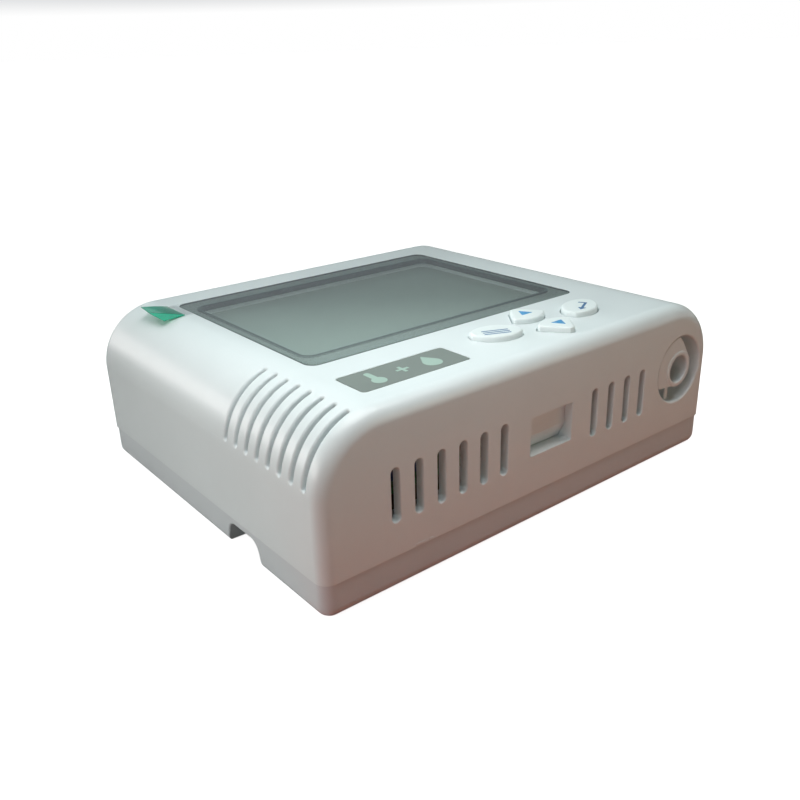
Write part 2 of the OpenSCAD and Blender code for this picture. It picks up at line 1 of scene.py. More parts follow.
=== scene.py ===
"""Looks of the wall-mounted air monitor: fine meshes, materials, light and camera round its CAD frame.

The case lies on its rear face. X is its width, Y its height on the wall and Z its depth. Shapes are worked
out in millimetres and scaled to metres when a piece is made.
"""

import json
import math

import bmesh
import bpy
import numpy as np
from mathutils import Matrix, Vector
from mathutils.bvhtree import BVHTree
from mathutils.interpolate import poly_3d_calc

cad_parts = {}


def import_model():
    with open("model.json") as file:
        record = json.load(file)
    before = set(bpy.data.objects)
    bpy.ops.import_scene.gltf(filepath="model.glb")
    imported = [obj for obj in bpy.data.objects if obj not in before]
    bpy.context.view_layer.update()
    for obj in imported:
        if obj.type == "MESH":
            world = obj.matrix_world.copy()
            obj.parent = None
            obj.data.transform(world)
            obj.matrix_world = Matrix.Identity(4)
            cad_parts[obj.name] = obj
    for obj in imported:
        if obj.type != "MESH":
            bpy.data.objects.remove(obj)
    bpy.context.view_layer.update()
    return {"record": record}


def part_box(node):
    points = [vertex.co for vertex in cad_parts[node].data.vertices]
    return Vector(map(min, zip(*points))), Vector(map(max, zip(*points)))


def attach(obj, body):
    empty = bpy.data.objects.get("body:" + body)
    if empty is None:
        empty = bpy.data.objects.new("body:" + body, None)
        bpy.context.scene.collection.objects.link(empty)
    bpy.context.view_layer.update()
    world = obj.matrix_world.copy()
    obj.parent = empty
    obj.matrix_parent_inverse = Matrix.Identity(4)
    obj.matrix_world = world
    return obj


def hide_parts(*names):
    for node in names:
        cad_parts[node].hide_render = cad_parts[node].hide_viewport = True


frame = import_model()

MM = 0.001


def box_mm(node):
    """Lowest corner, highest corner, centre and size of a CAD node, in millimetres."""
    low, high = (np.array(corner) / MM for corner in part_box(node))
    return low, high, (low + high) / 2, high - low


# ---- sizes
CASE_LOW, CASE_HIGH, _, CASE_SIZE = box_mm("front_shell")
HALF_W = CASE_SIZE[0] / 2
HALF_H = CASE_SIZE[1] / 2
TOP = CASE_HIGH[2]
SEAM = CASE_LOW[2]
SIDE_R = 15.0
END_R = 3.6
CORNER_R = 3.0
WALL = 2.2
INNER_Y = WALL - HALF_H

BOSS_R = 3.5
BOSS_TOP = 13.2
BOSS_REACH = 7.4
POST_R = 2.75
POST_FOOT = 29.6
SCREW_BORE_R = 1.5
SELF_TAP_R = 1.1

COVER_SIZE = box_mm("rear_cover")[3]
COVER_FLOOR = 2.0
COVER_EDGE_R = 2.7
TONGUE = 1.2
TONGUE_FIT = 0.15
TONGUE_HALF = (45.0, 36.0)
SCREW_AT = (51.0, 41.0)
SCREW_PAD_R = 4.5
BOARD_POST_R = 3.0
BOARD_POST_TOP = 15.0
WALL_SCREW_AT = (30.0, 8.0)
WALL_SCREW_R = 2.25
CHANNEL_Y = -19.15
CHANNEL_TOP = 6.3
CHANNEL_END_X = -33.0
CHANNEL_REACH = 9.0
WIRING_X = (-33.0, -4.0)
WIRING_Y = (-27.0, -6.0)
BOARD_POSTS = ((-42, 38), (42, 38), (-42, -35), (42, -35))
DISPLAY_POSTS = ((-42, 42), (42, 42), (-42, -30), (42, -32))

LENS_LOW, LENS_HIGH, LENS_AT, LENS_SIZE = box_mm("display_lens")
LENS_CORNER = 2.5
LENS_BORDER = (2.3, 5.3)
LENS_SEAT = LENS_LOW[2] - 0.2
APERTURE = (LENS_SIZE[0] - 2 * LENS_BORDER[0], LENS_SIZE[1] - 2 * LENS_BORDER[1])
APERTURE_CORNER = 3.0
LENS_REBATE = 0.35
ADHESIVE_LOW = box_mm("lens_adhesive")[0]
LCD_LOW, LCD_HIGH, LCD_AT, LCD_SIZE = box_mm("lcd_glass")
RIM_WALL = 1.2

# The pull tab: its stuck edge, and its free edge from the tip to the elbow where its corner folds down.
TAB_ROOT = (Vector((-45.2, 38.6, 40.14)), Vector((-45.3, 28.3, 40.2)))
TAB_TIP = Vector((-52.3, 37.8, 41.6))
TAB_ELBOW = Vector((-52.2, 33.3, 41.0))
TAB_CORNER = Vector((-51.3, 27.0, 40.3))
TAB_THICKNESS = 0.12

_, _, PLATE_AT, PLATE_SIZE = box_mm("nameplate")
SYMBOL_X = (-7.6, -0.6, 6.6)

PAD_AT = np.array((12.5, -35.5))
KEY_TOP = box_mm("menu_key")[1][2]
KEY_GAP = 0.16
KEY_UNDER = TOP - WALL - 0.3
LEAF_OFF = np.array((14.0, 0.5))
LEAF_TILT = 22.0
LEAF_R = 7.4
LEAF_HALF = (6.0, 4.2)
SHIELD_R = 6.7
SHIELD_OFF = 1.2
SHIELD_APEX = 9.2
SHIELD_FLAT = 8.3
SHIELD_ANGLE = 38.8
STEM_OFF = 4.4
MARK_PLACES = {
    "menu": (-24.0, (-2.2, -35.8)),
    "up": (0.0, (12.5, -29.8)),
    "down": (180.0, (12.9, -41.0)),
    "enter": (28.0, (26.4, -35.6)),
}

VENT_X0 = -42.4
VENT_PITCH = 5.78
VENT_NUMBERS = (0, 1, 2, 3, 4, 5, 10, 11, 12, 13)
VENT_Z = (15.5, 27.1)
VENT_W = 2.1
SIDE_VENT_Y0 = -16.5
SIDE_VENT_PITCH = 4.13
SIDE_VENT_COUNT = 8
SIDE_VENT_W = 1.15
SIDE_VENT_EDGE = 0.55
SIDE_VENT_ANGLES = (5.0, 76.0)

WINDOW_X = (-5.6, 7.6)
WINDOW_Z = (17.0, 26.1)
WINDOW_COLLAR = 1.2
COLLAR_LEN = 2.2
BLANK_FIT = 0.1
BLANK_BEND = 20.6
BLANK_SLOPE = 1.5

BORE = next(m for m in frame["record"]["mounts"] if m["name"] == "cable_bore")
RECESS_AT = (BORE["pos_m"][0] / MM, BORE["pos_m"][2] / MM)
RECESS_R = 8.5
RECESS_LEN = 6.0
RECESS_WALL = 1.4
BUSHING_FACE = box_mm("cable_bushing")[0][1]
TUBE_R = 4.7
BORE_R = 3.4
DISC_R = 8.3

# How far a cutting tool's rounded edge stands above the surface, so that the two never coincide.
LIFT = 0.004
# A face takes a fair form's normal only if the cosine of the angle between them is above this.
SAME_FACING = 0.85


# ---- outlines
# An outline is a closed chain of arcs (x, y, radius, start angle, end angle), joined by straight lines and
# running counter-clockwise. A negative radius makes a hollow arc, and equal angles make a sharp corner.
def trace(arcs, grow=0.0, step=6.0):
    """Points and outward normals of an outline whose edge is moved out by grow."""
    points, normals = [], []
    for x, y, radius, start, end in arcs:
        turn = end - start
        count = max(1, round(abs(turn) / step))
        last = count - 1 if abs(turn) >= 360 else count
        side = 1 if radius >= 0 else -1
        for i in range(last + 1 if turn else 1):
            angle = math.radians(start + turn * i / count)
            normal = side * math.cos(angle), side * math.sin(angle)
            normals.append(normal)
            points.append((x + (radius + grow) * normal[0], y + (radius + grow) * normal[1]))
    return np.array(points), np.array(normals)


def rounded(corners):
    """Outline of a polygon whose corners (x, y, radius) are rounded."""
    arcs = []
    for i, (x, y, radius) in enumerate(corners):
        before = Vector((x, y)) - Vector(corners[i - 1][:2])
        after = Vector(corners[(i + 1) % len(corners)][:2]) - Vector((x, y))
        start = math.degrees(math.atan2(before.y, before.x)) - 90
        turn = (math.degrees(math.atan2(after.y, after.x)) - start - 90 + 540) % 360 - 180
        half = math.radians(start + turn / 2)
        side = 1 if turn > 0 else -1
        reach = side * radius / math.cos(math.radians(turn / 2))
        centre = x - reach * math.cos(half), y - reach * math.sin(half)
        flip = 0 if turn > 0 else 180
        arcs.append((*centre, side * radius, start + flip, start + turn + flip))
    return arcs


def rectangle(width, height, radius, at=(0.0, 0.0)):
    x, y = width / 2, height / 2
    corners = [(x, -y), (x, y), (-x, y), (-x, -y)]
    return rounded([(at[0] + cx, at[1] + cy, radius) for cx, cy in corners])


def circle(radius, at=(0.0, 0.0)):
    return [(at[0], at[1], radius, 0, 360)]


def slot(width, length, at=(0.0, 0.0), joints=0):
    """A slot with round ends that runs along the outline's second axis. joints adds points to its sides,
    for a slot that is wrapped on a curved surface."""
    off = (length - width) / 2
    stops = [off - 2 * off * (k + 1) / (joints + 1) for k in range(joints)]
    down = [(at[0], at[1] + stop, width / 2, 180, 180) for stop in stops]
    up = [(at[0], at[1] - stop, width / 2, 360, 360) for stop in stops]
    head = (at[0], at[1] + off, width / 2, 0, 180)
    foot = (at[0], at[1] - off, width / 2, 180, 360)
    return [head, *down, foot, *up]


def leaf():
    """A side key: two arcs that meet at blunt tips."""
    tip_r = 0.6
    off = LEAF_R - LEAF_HALF[1]
    tip_x = LEAF_HALF[0] - tip_r
    tip_y = math.sqrt((LEAF_R - tip_r) ** 2 - tip_x**2) - off
    lean = math.degrees(math.atan2(tip_x, tip_y + off))
    return [
        (0, -off, LEAF_R, 90 - lean, 90 + lean),
        (-tip_x, tip_y, tip_r, 90 + lean, 180),
        (-tip_x, -tip_y, tip_r, 180, 270 - lean),
        (0, off, LEAF_R, 270 - lean, 270 + lean),
        (tip_x, -tip_y, tip_r, 270 + lean, 360),
        (tip_x, tip_y, tip_r, 0, 90 - lean),
    ]


def shield():
    """An upper key: an arc below, and two sides that lean to a blunt apex."""
    corner_r, apex_r = 0.8, 0.6
    angle = math.radians(SHIELD_ANGLE)
    out = Vector((math.cos(angle), math.sin(angle)))
    along = Vector((out.y, -out.x))
    reach = SHIELD_APEX * out.y
    near = reach - corner_r - SHIELD_R * out.y
    far = math.sqrt((SHIELD_R - corner_r) ** 2 - near**2)
    corner = Vector((0, SHIELD_R)) + near * out + far * along
    low = math.degrees(math.atan2(corner.y - SHIELD_R, corner.x))
    apex_y = SHIELD_FLAT - apex_r
    apex_x = (reach - apex_r - apex_y * out.y) / out.x
    return [
        (0, SHIELD_R, SHIELD_R, -180 - low, low),
        (corner.x, corner.y, corner_r, low, SHIELD_ANGLE),
        (apex_x, apex_y, apex_r, SHIELD_ANGLE, 90),
        (-apex_x, apex_y, apex_r, 90, 180 - SHIELD_ANGLE),
        (-corner.x, corner.y, corner_r, 180 - SHIELD_ANGLE, 180 - low),
    ]


def turned(arcs, angle=0.0, at=(0.0, 0.0), mirror=False):
    """An outline that is mirrored across its first axis if asked, turned by angle and moved to at."""
    if mirror:
        arcs = [(x, -y, radius, -end, -start) for x, y, radius, start, end in reversed(arcs)]
    c, s = math.cos(math.radians(angle)), math.sin(math.radians(angle))
    return [
        (at[0] + c * x - s * y, at[1] + s * x + c * y, radius, start + angle, end + angle)
        for x, y, radius, start, end in arcs
    ]


# Outlines of the keys, and where their stems meet the switches.
KEYS = {
    "menu": turned(leaf(), -LEAF_TILT, PAD_AT + LEAF_OFF * (-1, 1)),
    "up": turned(shield(), 0, PAD_AT + (0, SHIELD_OFF)),
    "down": turned(shield(), 0, PAD_AT - (0, SHIELD_OFF), mirror=True),
    "enter": turned(leaf(), LEAF_TILT, PAD_AT + LEAF_OFF),
}
KEY_STEMS = {
    "menu": PAD_AT + LEAF_OFF * (-1, 1),
    "up": PAD_AT + (0, SHIELD_OFF + STEM_OFF),
    "down": PAD_AT - (0, SHIELD_OFF + STEM_OFF),
    "enter": PAD_AT + LEAF_OFF,
}


# ---- solids
# A solid is (vertices, faces). A place turns an outline's points and a depth below a surface into points
# in space.
def on_top(points, depth):
    return np.column_stack([points, np.full(len(points), TOP - depth)])


def on_base(points, depth):
    return np.column_stack([points, np.full(len(points), depth)])


def on_end(points, depth):
    """An outline in X and Z on the lower end of the case."""
    return np.column_stack([points[:, 0], np.full(len(points), depth - HALF_H), points[:, 1]])


def on_side(points, depth):
    """An outline in Y and Z on the left side of the rear cover."""
    return np.column_stack([np.full(len(points), depth - COVER_SIZE[0] / 2), points])


def across(points, depth):
    """An outline in Y and Z that is swept along X."""
    return np.column_stack([np.full(len(points), depth), points])


def on_round_edge(points, depth):
    """An outline wrapped on the left long edge: its second axis runs up the arc, its first along Y."""
    angle = points[:, 1] / SIDE_R
    radius = SIDE_R - depth
    return np.column_stack(
        [SIDE_R - HALF_W - radius * np.cos(angle), points[:, 0], TOP - SIDE_R + radius * np.sin(angle)]
    )


def loft(rings):
    """A closed solid through rings of equally many points, with flat ends."""
    n = len(rings[0])
    faces = [tuple(reversed(range(n)))]
    for k in range(len(rings) - 1):
        a, b = k * n, (k + 1) * n
        faces += [(a + i, a + (i + 1) % n, b + (i + 1) % n, b + i) for i in range(n)]
    last = (len(rings) - 1) * n
    faces.append(tuple(range(last, last + n)))
    return np.vstack(rings), faces


def laddered(solid, count, apex):
    """The same loft with its end faces split into rungs, for a slot that is wrapped on a curve."""
    vertices, faces = solid
    rungs = []
    for k in range(count // 2):
        ring = (apex + k, apex + k + 1, apex - k - 1, apex - k)
        rungs.append(tuple(dict.fromkeys(i % count for i in ring)))
    last = len(vertices) - count
    start = [tuple(reversed(rung)) for rung in rungs]
    end = [tuple(last + i for i in rung) for rung in rungs]
    return vertices, start + faces[1:-1] + end


def sweep(arcs, place, levels, step=6.0):
    """A solid whose outline grows by the first number of each level at the depth of the second."""
    return loft([place(trace(arcs, grow, step)[0], depth) for grow, depth in levels])


def prism(arcs, place, start, end, step=6.0):
    """A solid with straight walls."""
    return sweep(arcs, place, [(0, start), (0, end)], step)


def quarter(radius, steps=4):
    """(grow, depth) pairs round a convex edge, from its tangent on the surface to its wall."""
    turns = [math.radians(90 * i / steps) for i in range(steps + 1)]
    return [(radius * (1 - math.sin(a)), radius * (1 - math.cos(a))) for a in turns]


def cutter(arcs, place, edge, depth, step=6.0):
    """A cutting tool whose opening has a rounded edge at the surface."""
    levels = [(grow, down - LIFT) for grow, down in quarter(edge)]
    return sweep(arcs, place, [(edge, -1), *levels, (0, depth)], step)


def plug(arcs, place, edge, start, end, step=6.0):
    """A solid from the depth start, where its edge is rounded, down to the depth end."""
    levels = [(-grow, start + down) for grow, down in quarter(edge)]
    return sweep(arcs, place, [*levels, (0, end)], step)


def block(low, high):
    """A box as a solid, for hidden ribs and as a cutting tool."""
    middle = (low[0] + high[0]) / 2, (low[1] + high[1]) / 2
    arcs = rectangle(high[0] - low[0], high[1] - low[1], 0.05, middle)
    return prism(arcs, on_base, low[2], high[2], step=90)


def scratch_object(name, solid):
    """A mesh object in millimetres with its faces turned outwards."""
    mesh = bpy.data.meshes.new(name)
    mesh.from_pydata([tuple(v) for v in solid[0]], [], solid[1])
    shape = bmesh.new()
    shape.from_mesh(mesh)
    bmesh.ops.remove_doubles(shape, verts=shape.verts, dist=1e-5)
    bmesh.ops.recalc_face_normals(shape, faces=shape.faces)
    shape.to_mesh(mesh)
    shape.free()
    obj = bpy.data.objects.new(name, mesh)
    bpy.context.scene.collection.objects.link(obj)
    return obj


def combined(name, solid, steps):
    """The solid with each (operation, solids) of steps applied in turn, as one object."""
    obj = scratch_object(name, solid)
    tools = []
    for operation, parts in steps:
        tool = scratch_object("tool", together(parts))
        tools.append(tool)
        modifier = obj.modifiers.new("step", "BOOLEAN")
        modifier.solver = "MANIFOLD"
        modifier.operation = operation
        modifier.object = tool
    result = bpy.data.meshes.new_from_object(obj.evaluated_get(bpy.context.evaluated_depsgraph_get()))
    obj.modifiers.clear()
    obj.data = result
    for tool in tools:
        bpy.data.meshes.remove(tool.data)
    return obj


def finish_mesh(obj, material, sharp=35.0, source=None):
    """Scales a mesh to metres, gives it its material and smooths it, but not at edges sharper than sharp.
    source is (vertices, faces, normals) of a fair form, whose normals the mesh takes where it lies on it."""
    mesh = obj.data
    on_form = fair_normals(mesh, source) if source else {}
    mesh.transform(Matrix.Scale(MM, 4))
    mesh.materials.clear()
    mesh.materials.append(material)
    for polygon in mesh.polygons:
        polygon.use_smooth = True
        polygon.material_index = 0
    mesh.set_sharp_from_angle(angle=math.radians(sharp))
    if source:
        normals = [on_form.get(i, corner.vector.copy()) for i, corner in enumerate(mesh.corner_normals)]
        mesh.normals_split_custom_set(normals)
    else:
        modifier = obj.modifiers.new("flat faces stay flat", "WEIGHTED_NORMAL")
        modifier.keep_sharp = True


def fair_normals(mesh, source):
    """Normals of the face corners that lie on a fair form, by corner."""
    vertices, faces, normals = source
    tree = BVHTree.FromPolygons([tuple(v) for v in vertices], faces)
    found, at_vertex = {}, {}
    for polygon in mesh.polygons:
        for corner in polygon.loop_indices:
            v = mesh.loops[corner].vertex_index
            if v not in at_vertex:
                point, _, face, distance = tree.find_nearest(mesh.vertices[v].co)
                at_vertex[v] = None
                if distance < 2 * LIFT:
                    ring = faces[face]
                    weights = poly_3d_calc([Vector(vertices[i]) for i in ring], point)
                    normal = sum((w * Vector(normals[i]) for w, i in zip(weights, ring)), Vector())
                    at_vertex[v] = normal.normalized()
            if at_vertex[v] is not None and at_vertex[v].dot(polygon.normal) > SAME_FACING:
                found[corner] = at_vertex[v]
    return found


def piece(name, parts, material, body="case", replaces=(), sharp=35.0, source=None):
    """A piece of the object, from an object or a solid."""
    obj = parts if isinstance(parts, bpy.types.Object) else scratch_object(name, parts)
    obj.name = name
    finish_mesh(obj, material, sharp, source)
    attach(obj, body)
    if replaces:
        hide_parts(*replaces)


def together(solids):
    """Several separate solids as one."""
    vertices, faces, start = [], [], 0
    for points, rings in solids:
        vertices.append(points)
        faces += [tuple(start + i for i in ring) for ring in rings]
        start += len(points)
    return np.vstack(vertices), faces


# ---- materials
GRAIN_DEPTH = 0.0001


def node(tree, kind, inputs=(), **settings):
    """A shader node, its inputs set to values or linked to other nodes' outputs."""
    made = tree.nodes.new(kind)
    for key, value in settings.items():
        setattr(made, key, value)
    for key, value in dict(inputs).items():
        if isinstance(value, bpy.types.NodeSocket):
            tree.links.new(value, made.inputs[key])
        else:
            made.inputs[key].default_value = value
    return made


def ramp(tree, factor, stops):
    """Colour ramp of (position, colour) stops."""
    made = node(tree, "ShaderNodeValToRGB", {"Fac": factor})
    elements = made.color_ramp.elements
    while len(elements) < len(stops):
        elements.new(0.5)
    for element, (position, colour) in zip(elements, stops):
        element.position = position
        element.color = colour
    return made.outputs["Color"]


def shades(colour, spread):
    """The colour made a little darker and a little lighter, as RGBA."""
    return [(*(min(1.0, c * (1 + k * spread)) for c in colour), 1.0) for k in (-1, 1)]


def new_material(name):
    made = bpy.data.materials.new(name)
    made.use_nodes = True
    made.node_tree.nodes.clear()
    return made, made.node_tree


def maths(tree, operation, first, second):
    made = node(tree, "ShaderNodeMath", {0: first, 1: second}, operation=operation)
    return made.outputs[0]


def noise(tree, where, scale, detail):
    made = node(tree, "ShaderNodeTexNoise", {"Vector": where, "Scale": scale, "Detail": detail})
    return made.outputs["Fac"]


def bump(tree, height, strength, distance, **inputs):
    inputs = {"Height": height, "Strength": strength, "Distance": distance, **inputs}
    return node(tree, "ShaderNodeBump", inputs).outputs["Normal"]


def blended(tree, factor, first, second):
    made = node(tree, "ShaderNodeMix", {"Factor": factor, "A": first, "B": second}, data_type="RGBA")
    return made.outputs["Result"]


def principled(tree, inputs):
    """Ends a material with one main shader."""
    shader = node(tree, "ShaderNodeBsdfPrincipled", inputs)
    node(tree, "ShaderNodeOutputMaterial", {"Surface": shader.outputs["BSDF"]})


def moulded(name, colour, roughness, spread=0.02, swell=0.0, **sockets):
    """A solid surface with faint blotches, uneven gloss and a fine grain. Texture scales are per metre.
    swell is the height of a moulded wall's slow waves."""
    made, tree = new_material(name)
    where = node(tree, "ShaderNodeTexCoord").outputs["Object"]
    cloud = noise(tree, where, 90.0, 4.0)
    dark, light = shades(colour, spread)
    tone = ramp(tree, cloud, [(0.3, dark), (0.7, light)])
    span = {"From Min": 0.3, "From Max": 0.7, "To Min": roughness * 0.9, "To Max": roughness * 1.12}
    gloss = node(tree, "ShaderNodeMapRange", {"Value": cloud, **span}).outputs["Result"]
    normal = bump(tree, noise(tree, where, 4200.0, 3.0), 0.03, GRAIN_DEPTH)
    if swell:
        normal = bump(tree, noise(tree, where, 45.0, 1.0), 1.0, swell, Normal=normal)
    principled(tree, {"Base Color": tone, "Roughness": gloss, "Normal": normal, **sockets})
    return made


def see_through(name, tint, roughness, haze, haze_colour, ior=1.49):
    """A clear sheet: it tints what is behind it, mirrors by its index and scatters a little."""
    made, tree = new_material(name)
    where = node(tree, "ShaderNodeTexCoord").outputs["Object"]
    normal = bump(tree, noise(tree, where, 1500.0, 2.0), 0.02, GRAIN_DEPTH)
    clear = node(tree, "ShaderNodeBsdfTransparent", {"Color": (*tint, 1.0)})
    dark, light = shades(haze_colour, 0.06)
    dull_tone = ramp(tree, noise(tree, where, 60.0, 5.0), [(0.35, dark), (0.65, light)])
    dull = node(tree, "ShaderNodeBsdfDiffuse", {"Color": dull_tone, "Normal": normal})
    body = node(tree, "ShaderNodeMixShader", {0: haze, 1: clear.outputs["BSDF"], 2: dull.outputs["BSDF"]})
    shine = {"Color": (1, 1, 1, 1), "Roughness": roughness, "Normal": normal}
    gloss = node(tree, "ShaderNodeBsdfAnisotropic", shine)
    fresnel = node(tree, "ShaderNodeFresnel", {"IOR": ior, "Normal": normal}).outputs["Fac"]
    inside = node(tree, "ShaderNodeNewGeometry").outputs["Backfacing"]
    mirror = maths(tree, "MULTIPLY", fresnel, maths(tree, "SUBTRACT", 1.0, inside))
    layers = {0: mirror, 1: body.outputs["Shader"], 2: gloss.outputs["BSDF"]}
    shown = node(tree, "ShaderNodeMixShader", layers)
    node(tree, "ShaderNodeOutputMaterial", {"Surface": shown.outputs["Shader"]})
    return made


def circuit_board(name, mask, copper):
    """Solder mask over copper tracks, with tinned pads."""
    made, tree = new_material(name)
    where = node(tree, "ShaderNodeTexCoord").outputs["Object"]
    bent = node(tree, "ShaderNodeTexVoronoi", {"Vector": where, "Scale": 210.0}, distance="MANHATTAN")
    comb = maths(tree, "PINGPONG", maths(tree, "MULTIPLY", bent.outputs["Distance"], 14.0), 1.0)
    track = maths(tree, "GREATER_THAN", comb, 0.72)
    pads = node(tree, "ShaderNodeTexVoronoi", {"Vector": where, "Scale": 260.0, "Randomness": 0.35})
    pad = maths(tree, "LESS_THAN", pads.outputs["Distance"], 0.17)
    tone = blended(tree, pad, blended(tree, track, (*mask, 1), (*copper, 1)), (0.62, 0.6, 0.55, 1))
    normal = bump(tree, maths(tree, "MAXIMUM", track, pad), 0.5, 0.00004)
    principled(tree, {"Base Color": tone, "Metallic": pad, "Roughness": 0.32, "Normal": normal})
    return made


# ---- front shell
def case_profile(inset=0.0):
    """Outline of the case seen along Y, from below its rear face, its surface moved in by inset."""
    x, z, foot = HALF_W - SIDE_R, TOP - SIDE_R, HALF_W - inset
    radius = SIDE_R - inset
    return [(foot, -1, 0, 0, 0), (x, z, radius, 0, 90), (-x, z, radius, 90, 180), (-foot, -1, 0, 180, 180)]


def case_form():
    """The case's outer form with the normals of its fair surface."""
    points, normals = trace(case_profile(), step=3)
    edge = CORNER_R + (END_R - CORNER_R) * np.clip(normals[:, 1], 0, 1)
    rings, facing = [], []
    turns = [math.radians(90 * i / 10) for i in range(11)]
    for end, steps in ((1, turns), (-1, turns[::-1])):
        for turn in steps:
            inset = edge * (1 - math.sin(turn))
            y = end * (HALF_H - edge * (1 - math.cos(turn)))
            x, z = (points - normals * inset[:, None]).T
            rings.append(np.column_stack([x, y, z]))
            lean = np.full(len(points), end * math.cos(turn))
            side_x, side_z = (normals * math.sin(turn)).T
            facing.append(np.column_stack([side_x, lean, side_z]))
    vertices, faces = loft(rings)
    return vertices, faces, np.vstack(facing)


def seam_form():
    """A slightly larger form that gives the shell its rim at the seam."""
    arcs = rectangle(CASE_SIZE[0] + 0.02, CASE_SIZE[1] + 0.02, CORNER_R + 0.01)
    levels = [(-grow, SEAM + down) for grow, down in quarter(0.25)]
    return sweep(arcs, on_base, [*levels, (0, TOP + 2)], step=9)


def four(at):
    """A point and its three mirror images across the middle of the case."""
    return [(sx * at[0], sy * at[1]) for sx in (-1, 1) for sy in (-1, 1)]


def corner_filler(x, y, top):
    """A block that joins the boss at (x, y) to both walls of its corner."""
    far = x + math.copysign(BOSS_REACH, x), y + math.copysign(BOSS_REACH, y)
    return block((min(x, far[0]), min(y, far[1]), SEAM + 0.1), (max(x, far[0]), max(y, far[1]), top))


def lens_outline(grow):
    return rectangle(LENS_SIZE[0] + 2 * grow, LENS_SIZE[1] + 2 * grow, LENS_CORNER, LENS_AT[:2])


def aperture_outline(grow=0.0):
    return rectangle(APERTURE[0] + 2 * grow, APERTURE[1] + 2 * grow, APERTURE_CORNER + grow, LENS_AT[:2])


def plate_outline(grow):
    return rectangle(PLATE_SIZE[0] + 2 * grow, PLATE_SIZE[1] + 2 * grow, 1.0, PLATE_AT[:2])


def window_outline():
    """The port window: its upper left corner is rounder than the others."""
    (x0, x1), (z0, z1) = WINDOW_X, WINDOW_Z
    return rounded([(x1, z0, 0.35), (x1, z1, 0.35), (x0, z1, 0.8), (x0, z0, 0.35)])


def vent_cutters():
    """Openings of the straight vents in the lower end and of the curved ones round the left edge."""
    height, middle = VENT_Z[1] - VENT_Z[0], sum(VENT_Z) / 2
    tools = []
    for n in VENT_NUMBERS:
        arcs = slot(VENT_W, height, (VENT_X0 + n * VENT_PITCH, middle))
        tools.append(cutter(arcs, on_end, 0.3, WALL + 1, 12))
    low, high = (math.radians(angle) * SIDE_R for angle in SIDE_VENT_ANGLES)
    step = 15
    length = high - low + SIDE_VENT_W - 2 * SIDE_VENT_EDGE - 0.8
    for n in range(SIDE_VENT_COUNT):
        arcs = slot(SIDE_VENT_W, length, (SIDE_VENT_Y0 - n * SIDE_VENT_PITCH, (low + high) / 2), 20)
        tool = cutter(arcs, on_round_edge, SIDE_VENT_EDGE, WALL + 0.6, step)
        tools.append(laddered(tool, len(trace(arcs, 0, step)[0]), 90 // step))
    return tools


def front_shell(material):
    """The front half of the case, with its windows, vents, recesses and bosses."""
    ribs = [prism(circle(BOSS_R, at), on_base, SEAM + 0.1, BOSS_TOP) for at in four(SCREW_AT)]
    ribs += [prism(circle(POST_R, at), on_base, POST_FOOT, TOP - WALL / 2) for at in DISPLAY_POSTS]
    ribs.append(prism(aperture_outline(RIM_WALL), on_top, WALL - 0.5, WALL + 0.9))
    (x0, x1), (z0, z1) = WINDOW_X, WINDOW_Z
    ribs.append(
        block(
            (x0 - WINDOW_COLLAR, INNER_Y - 0.01, z0 - WINDOW_COLLAR),
            (x1 + WINDOW_COLLAR, INNER_Y + COLLAR_LEN, z1 + WINDOW_COLLAR),
        )
    )
    ribs.append(prism(circle(RECESS_R + RECESS_WALL, RECESS_AT), on_end, WALL - 0.01, WALL + RECESS_LEN))
    bores = [prism(circle(SCREW_BORE_R, at), on_base, SEAM - 1, BOSS_TOP - 0.4) for at in four(SCREW_AT)]
    bores += [prism(circle(SELF_TAP_R, at), on_base, POST_FOOT - 1, POST_FOOT + 6.5) for at in DISPLAY_POSTS]
    bores.append(prism(aperture_outline(), on_top, -1, WALL + 2))
    openings = [
        cutter(lens_outline(0.15), on_top, 0.15, TOP - LENS_SEAT),
        cutter(plate_outline(0.1), on_top, 0.12, PLATE_SIZE[2]),
        cutter(window_outline(), on_end, 0.12, WALL + COLLAR_LEN + 1),
        cutter(circle(RECESS_R, RECESS_AT), on_end, 0.5, WALL + RECESS_LEN + 1, 5),
    ]
    for arcs in KEYS.values():
        openings.append(sweep(arcs, on_top, key_opening_levels()))
    form = case_form()
    inside = prism(case_profile(WALL), on_end, WALL, CASE_SIZE[1] - WALL, step=3)
    steps = [
        ("INTERSECT", [seam_form()]),
        ("DIFFERENCE", [inside]),
        ("UNION", ribs),
        ("UNION", [corner_filler(*at, BOSS_TOP) for at in four(SCREW_AT)]),
        ("DIFFERENCE", bores),
        ("DIFFERENCE", openings + vent_cutters()),
    ]
    shell = combined("front_shell_form", form[:2], steps)
    piece("front_case", shell, material, replaces=["front_shell"], source=form)


def key_opening_levels():
    """A key's opening: its gap, and a rounded edge at the front face."""
    edge = 0.3
    levels = [(KEY_GAP + grow, down - LIFT) for grow, down in quarter(edge)]
    return [(KEY_GAP + edge, -1), *levels, (KEY_GAP, WALL + 1)]


# ---- rear cover
def channel_outline():
    """The wiring channel seen along X: flared at the rear face and round at its shoulders."""
    foot, flare, shoulder, shoulder_r = 8.98, 2.2, 3.3, 3.0
    arcs = [
        (foot, -1, 0, 315, 315),
        (foot, flare, -flare, 270, 195),
        (shoulder, CHANNEL_TOP - shoulder_r, shoulder_r, 15, 90),
        (-shoulder, CHANNEL_TOP - shoulder_r, shoulder_r, 90, 165),
        (-foot, flare, -flare, 345, 270),
        (-foot, -1, 0, 225, 225),
    ]
    return turned(arcs, 0, (CHANNEL_Y, 0))


def cover_form():
    width, height, _ = COVER_SIZE
    arcs = rectangle(width, height, CORNER_R)
    foot = [(-grow, down) for grow, down in quarter(COVER_EDGE_R, 8)]
    rim = [(-grow, SEAM - down) for grow, down in reversed(quarter(0.2))]
    return sweep(arcs, on_base, foot + rim)


